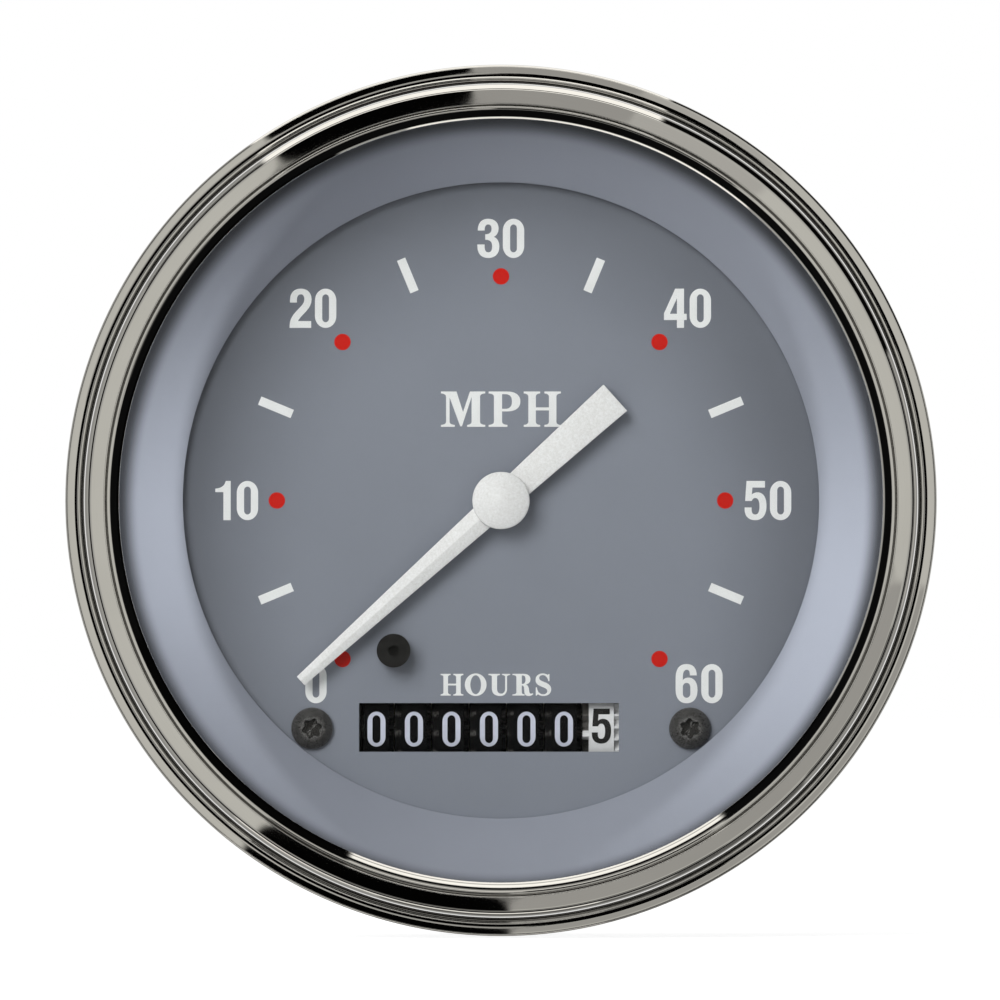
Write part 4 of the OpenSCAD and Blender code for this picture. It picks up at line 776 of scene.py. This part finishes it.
bm = bmesh.new()
blade = bar([blade_section(0, BLADE_ROOT_W), blade_section(BLADE_L, BLADE_TIP_W)])
soften(blade, BLADE_SOFT)
merge(bm, blade, POINTER_REST, (0, 0, Z_BLADE))
tail = bar([tail_section(0, TAIL_ROOT_HALF), tail_section(-TAIL_L, TAIL_END_HALF)])
soften(tail, TAIL_SOFT)
merge(bm, tail, POINTER_REST, (0, 0, Z_BLADE))
add_lathe(bm, HUB_PROFILE, TURNED_SEGMENTS)
pointer = finish_mesh("pointer_arm", bm, MATERIALS["pointer_paint"], "pointer_unit",
                      sharp=18)
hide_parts("pointer")

bm = bmesh.new()
add_lathe(bm, [(r, Z_CAP + z) for r, z in CAP_PROFILE], TURNED_SEGMENTS, loop=False)
cap = finish_mesh("pointer_hub_cap", bm, MATERIALS["pointer_paint"], "pointer_unit",
                  sharp=50)
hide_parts("pointer_cap")

# Dial screws: domed heads with a six-lobe socket; each screw by its place across and its turn
SCREWS, SCREW_Y = [(-20.4, 14), (20.4, 33)], -24.6
SCREW_PROFILE = [(1.25, -4.0), (1.25, 0.0), (2.12, 0.0), (2.22, 0.06), (2.25, 0.18), (2.25, 0.42),
                 (2.20, 0.56), (2.06, 0.74), (1.80, 0.96), (1.50, 1.13), (1.25, 1.22), (1.02, 1.25),
                 (0.97, 1.2), (0.95, 0.55), (0.6, 0.45), (0.05, 0.42)]
LOBE_DEPTH = [0, 0, 0, 0, 0, 0, 0, 0, 0, 0, 0.02, 0.13, 0.15, 0.15, 0.10, 0]


def lobes(i, r, a):
    return r * (1 + LOBE_DEPTH[i] * math.cos(6 * a))


bm = bmesh.new()
for screw_x, turn in SCREWS:
    part = bmesh.new()
    add_lathe(part, SCREW_PROFILE, TURNED_SEGMENTS, loop=False, turn=lobes)
    merge(bm, part, math.radians(turn), (screw_x, SCREW_Y, Z_DIAL))
screws = finish_mesh("dial_screw_heads", bm, MATERIALS["black_steel"], "instrument",
                     sharp=38)
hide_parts("dial_screws")

# Mounting studs: rolled threads and softened hexagon collars
STUD_X, STUD_R, STUD_ROOT, HEX_HALF, HEX_SOFT = 25.0, 2.0, 1.6, 3.5, 0.22
COLLAR_TOP, COLLAR_LOW, STUD_END, STUD_IN = -47.8, -50.8, -66.8, -29.4
THREAD_PITCH, THREAD_DEPTH, THREAD_RUN_IN = 0.7, 0.38, 0.9
CREST_LEVEL, CREST_SLOPE, LEAD_L, LEAD_SLOPE = 1.3, 1.6, 0.75, 0.9
THREAD_ROWS, THREAD_SEGMENTS, PLAIN_SEGMENTS = 208, 40, 32


def thread_radius(z, a):
    phase = (z / THREAD_PITCH + a / (2 * math.pi)) % 1.0
    crest = min(1.0, max(0.0, CREST_LEVEL - CREST_SLOPE * abs(2 * phase - 1)))
    run_in = min(1.0, max(0.0, (COLLAR_LOW - z) / THREAD_RUN_IN))
    lead = STUD_R - max(0.0, LEAD_L - (z - STUD_END)) * LEAD_SLOPE
    return min(lead, STUD_R - THREAD_DEPTH * (1 - crest) * run_in)


def stud_pieces():
    """The threaded end, the hexagon collar and the plain end of one stud."""
    rows = [(STUD_R, STUD_END + (COLLAR_LOW - STUD_END) * i / THREAD_ROWS) for i in range(THREAD_ROWS + 1)]
    thread = bmesh.new()
    add_lathe(thread, rows, THREAD_SEGMENTS, loop=False,
              turn=lambda i, r, a: thread_radius(rows[i][1], a))
    collar = bmesh.new()
    corner_r = HEX_HALF / math.cos(math.pi / 6)
    add_prism(collar, [arc(0, 0, corner_r, 0, 360, 6)[:-1]], COLLAR_LOW, COLLAR_TOP)
    bmesh.ops.dissolve_limit(collar, angle_limit=0.01, verts=collar.verts, edges=collar.edges)
    soften(collar, HEX_SOFT, 3)
    plain = bmesh.new()
    add_lathe(plain, [(STUD_ROOT, COLLAR_TOP), (STUD_ROOT, STUD_IN)], PLAIN_SEGMENTS, loop=False)
    return thread, collar, plain


bm = bmesh.new()
for side in (-1, 1):
    for part in stud_pieces():
        merge(bm, part, 0, (side * STUD_X, 0, 0))
studs = finish_mesh("threaded_studs", bm, MATERIALS["plain_steel"], "instrument",
                    sharp=35, weld=1e-6)
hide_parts("mounting_studs")

# Finishes of the solids that stay
slots = {p["node"]: p["material_slot"] for p in frame["record"]["subparts"]}
for name, ob in frame["nodes"].items():
    ob.data.materials.clear()
    ob.data.materials.append(OWN_FINISH.get(name) or MATERIALS[slots[name]])

# Floor, lamps, surroundings and camera
FLOOR_R, FLOOR_Z, FLOOR_GLOW = 4.0, -47.2 * MM, 0.79


def floor_material():
    m, tree, out, coords = new_material("pale_floor")
    path = tree.nodes.new("ShaderNodeLightPath").outputs
    tone = mix_colour(tree, noise(tree, coords, 3.0), (0.86, 0.86, 0.86), (0.90, 0.90, 0.90))
    body = node(tree, "BsdfDiffuse", None, {0: tone})
    strength = math_node(tree, "MULTIPLY", path["Is Camera Ray"], FLOOR_GLOW)
    glow = node(tree, "Emission", {0: (1, 1, 1, 1)}, {1: strength})
    both = node(tree, "AddShader", None, {0: body.outputs[0], 1: glow.outputs[0]})
    tree.links.new(both.outputs[0], out.inputs[0])
    return m


bm = bmesh.new()
bmesh.ops.create_circle(bm, cap_ends=True, segments=96, radius=FLOOR_R)
me = bpy.data.meshes.new("floor")
bm.to_mesh(me)
bm.free()
floor = bpy.data.objects.new("floor", me)
floor.location.z = FLOOR_Z
me.materials.append(floor_material())
bpy.context.scene.collection.objects.link(floor)
floor.visible_glossy = False
floor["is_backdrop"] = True


def lamp(name, data, place, target, power):
    data.energy = power
    ob = bpy.data.objects.new(name, data)
    ob.location = place
    ob.rotation_mode = "QUATERNION"
    ob.rotation_quaternion = (Vector(target) - Vector(place)).to_track_quat("-Z", "Y")
    ob.visible_camera = False
    ob.visible_glossy = False
    bpy.context.scene.collection.objects.link(ob)


def soft_box(name, place, width, height, power):
    data = bpy.data.lights.new(name, "AREA")
    data.shape = "RECTANGLE"
    data.size, data.size_y = width, height
    lamp(name, data, place, (0, 0, 0), power)


def soft_spot(name, place, target, reach, power):
    data = bpy.data.lights.new(name, "SPOT")
    data.spot_size = 2 * math.atan(reach / math.dist(place, target))
    data.spot_blend = 1.0
    data.shadow_soft_size = 0.02
    lamp(name, data, place, target, power)


soft_box("key", (-0.40, -0.86, 0.45), 0.60, 0.60, 9.3)
soft_spot("left_spot", (-0.925, -0.15, 0.216), (0.037, 0.0, -0.011), 0.032, 55.0)
soft_spot("right_spot", (0.95, -0.15, 0.0), (-0.038, 0.0, -0.002), 0.032, 67.0)


# The studio that mirrors show: tilt from the front as a share of half a turn, and colour
STUDIO = [(0.0, (0.58, 0.57, 0.525)), (0.16, (0.57, 0.56, 0.515)), (0.25, (0.40, 0.395, 0.37)),
          (0.286, (0.34, 0.335, 0.315)), (0.294, (0.004, 0.004, 0.004)), (0.372, (0.004, 0.004, 0.004)),
          (0.385, (0.36, 0.355, 0.335)), (0.46, (0.42, 0.415, 0.39)), (0.55, (0.30, 0.295, 0.28)),
          (0.68, (0.35, 0.35, 0.34)), (0.74, (1.0, 1.0, 1.0))]

# Cards and flags in it: direction round the axis, half width, first and last tilt, all in degrees; light
CARDS = [(-51, 39.5, 0.8, 30, 0.37), (-107.6, 18.9, 0.8, 40, 0.001), (108.3, 14.8, 0.8, 46, 0.001),
         (82, 11.5, 0.8, 46, 0.36), (60, 10.5, 0.8, 30, 0.47), (96, 29, 46, 53, 1.2),
         (96, 29, 61, 119, 1.2), (-30, 12, 36, 52, 0.17), (44, 23, 50, 104, 0.002),
         (-75, 32, 80, 104, 0.12), (0, 15, 80, 100, 0.50), (-21, 44, 71, 78.5, 0.002),
         (137, 12, 71, 78.5, 0.002), (-103, 27, 68, 79, 1.1), (-85, 28, 40, 49, 0.13)]
CARD_TINT = (1.0, 0.975, 0.91)
SOFT_SIDE, SOFT_NEAR, SOFT_FAR = 0.7, 1.0, 3.0
AMBIENT = 0.26


def soft_step(tree, value, degrees, soft, smooth=False):
    """Rises from 0 to 1 where an angle passes the given one."""
    return remap(tree, value, math.radians(degrees - soft), math.radians(degrees + soft), smooth=smooth)


def surroundings():
    """White to the camera and through clear pieces, the studio to glossy rays, plain light to the rest."""
    world = bpy.data.worlds.new("studio")
    bpy.context.scene.world = world
    world.use_nodes = True
    tree = world.node_tree
    tree.nodes.clear()
    out = tree.nodes.new("ShaderNodeOutputWorld")
    path = tree.nodes.new("ShaderNodeLightPath").outputs
    direction = tree.nodes.new("ShaderNodeTexCoord").outputs["Generated"]
    x, y, z = node(tree, "SeparateXYZ", None, {0: direction}).outputs
    tilt = math_node(tree, "ARCCOSINE", math_node(tree, "MULTIPLY", y, -1.0))
    turn = math_node(tree, "ARCTAN2", z, x)
    studio = ramp(tree, math_node(tree, "DIVIDE", tilt, math.pi), STUDIO)
    for middle, half, first_tilt, last_tilt, level in CARDS:
        off = math_node(tree, "ABSOLUTE", math_node(tree, "SUBTRACT", turn, math.radians(middle)))
        outside = soft_step(tree, off, half, SOFT_SIDE, smooth=True)
        past = soft_step(tree, tilt, last_tilt, SOFT_FAR)
        card = soft_step(tree, tilt, first_tilt, SOFT_NEAR)
        for away in (outside, past):
            card = math_node(tree, "MULTIPLY", card, math_node(tree, "SUBTRACT", 1.0, away))
        studio = mix_colour(tree, card, studio, tuple(level * c for c in CARD_TINT))
    mirror = node(tree, "Background", {1: 1.0}, {0: studio})
    ambient = node(tree, "Background", {0: (1.0, 1.0, 1.0, 1.0), 1: AMBIENT})
    white = node(tree, "Background", {0: (1.0, 1.0, 1.0, 1.0), 1: 1.0})
    light = node(tree, "MixShader", None,
                 {0: path["Is Glossy Ray"], 1: ambient.outputs[0], 2: mirror.outputs[0]})
    seen = math_node(tree, "MAXIMUM", path["Is Camera Ray"], path["Is Transmission Ray"])
    both = node(tree, "MixShader", None, {0: seen, 1: light.outputs[0], 2: white.outputs[0]})
    tree.links.new(both.outputs[0], out.inputs[0])


surroundings()

# The camera stands far in front of the dial, a pixel or less off its axis
CAMERA_DISTANCE = 4.0
CAMERA_OFF_PX = (-1.0, 0.5)
SENSOR = 36.0
camera = bpy.data.cameras.new("camera")
camera.sensor_width = SENSOR
camera.lens = SENSOR * CAMERA_DISTANCE / (PHOTO_PX * PX * MM)
camera.clip_end = 100.0
camera_ob = bpy.data.objects.new("camera", camera)
camera_ob.location = (CAMERA_OFF_PX[0] * PX * MM, -CAMERA_DISTANCE, CAMERA_OFF_PX[1] * PX * MM)
camera_ob.rotation_euler = (math.pi / 2, 0, 0)
bpy.context.scene.collection.objects.link(camera_ob)
bpy.context.scene.camera = camera_ob
bpy.context.scene.view_settings.view_transform = "Standard"

low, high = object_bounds()
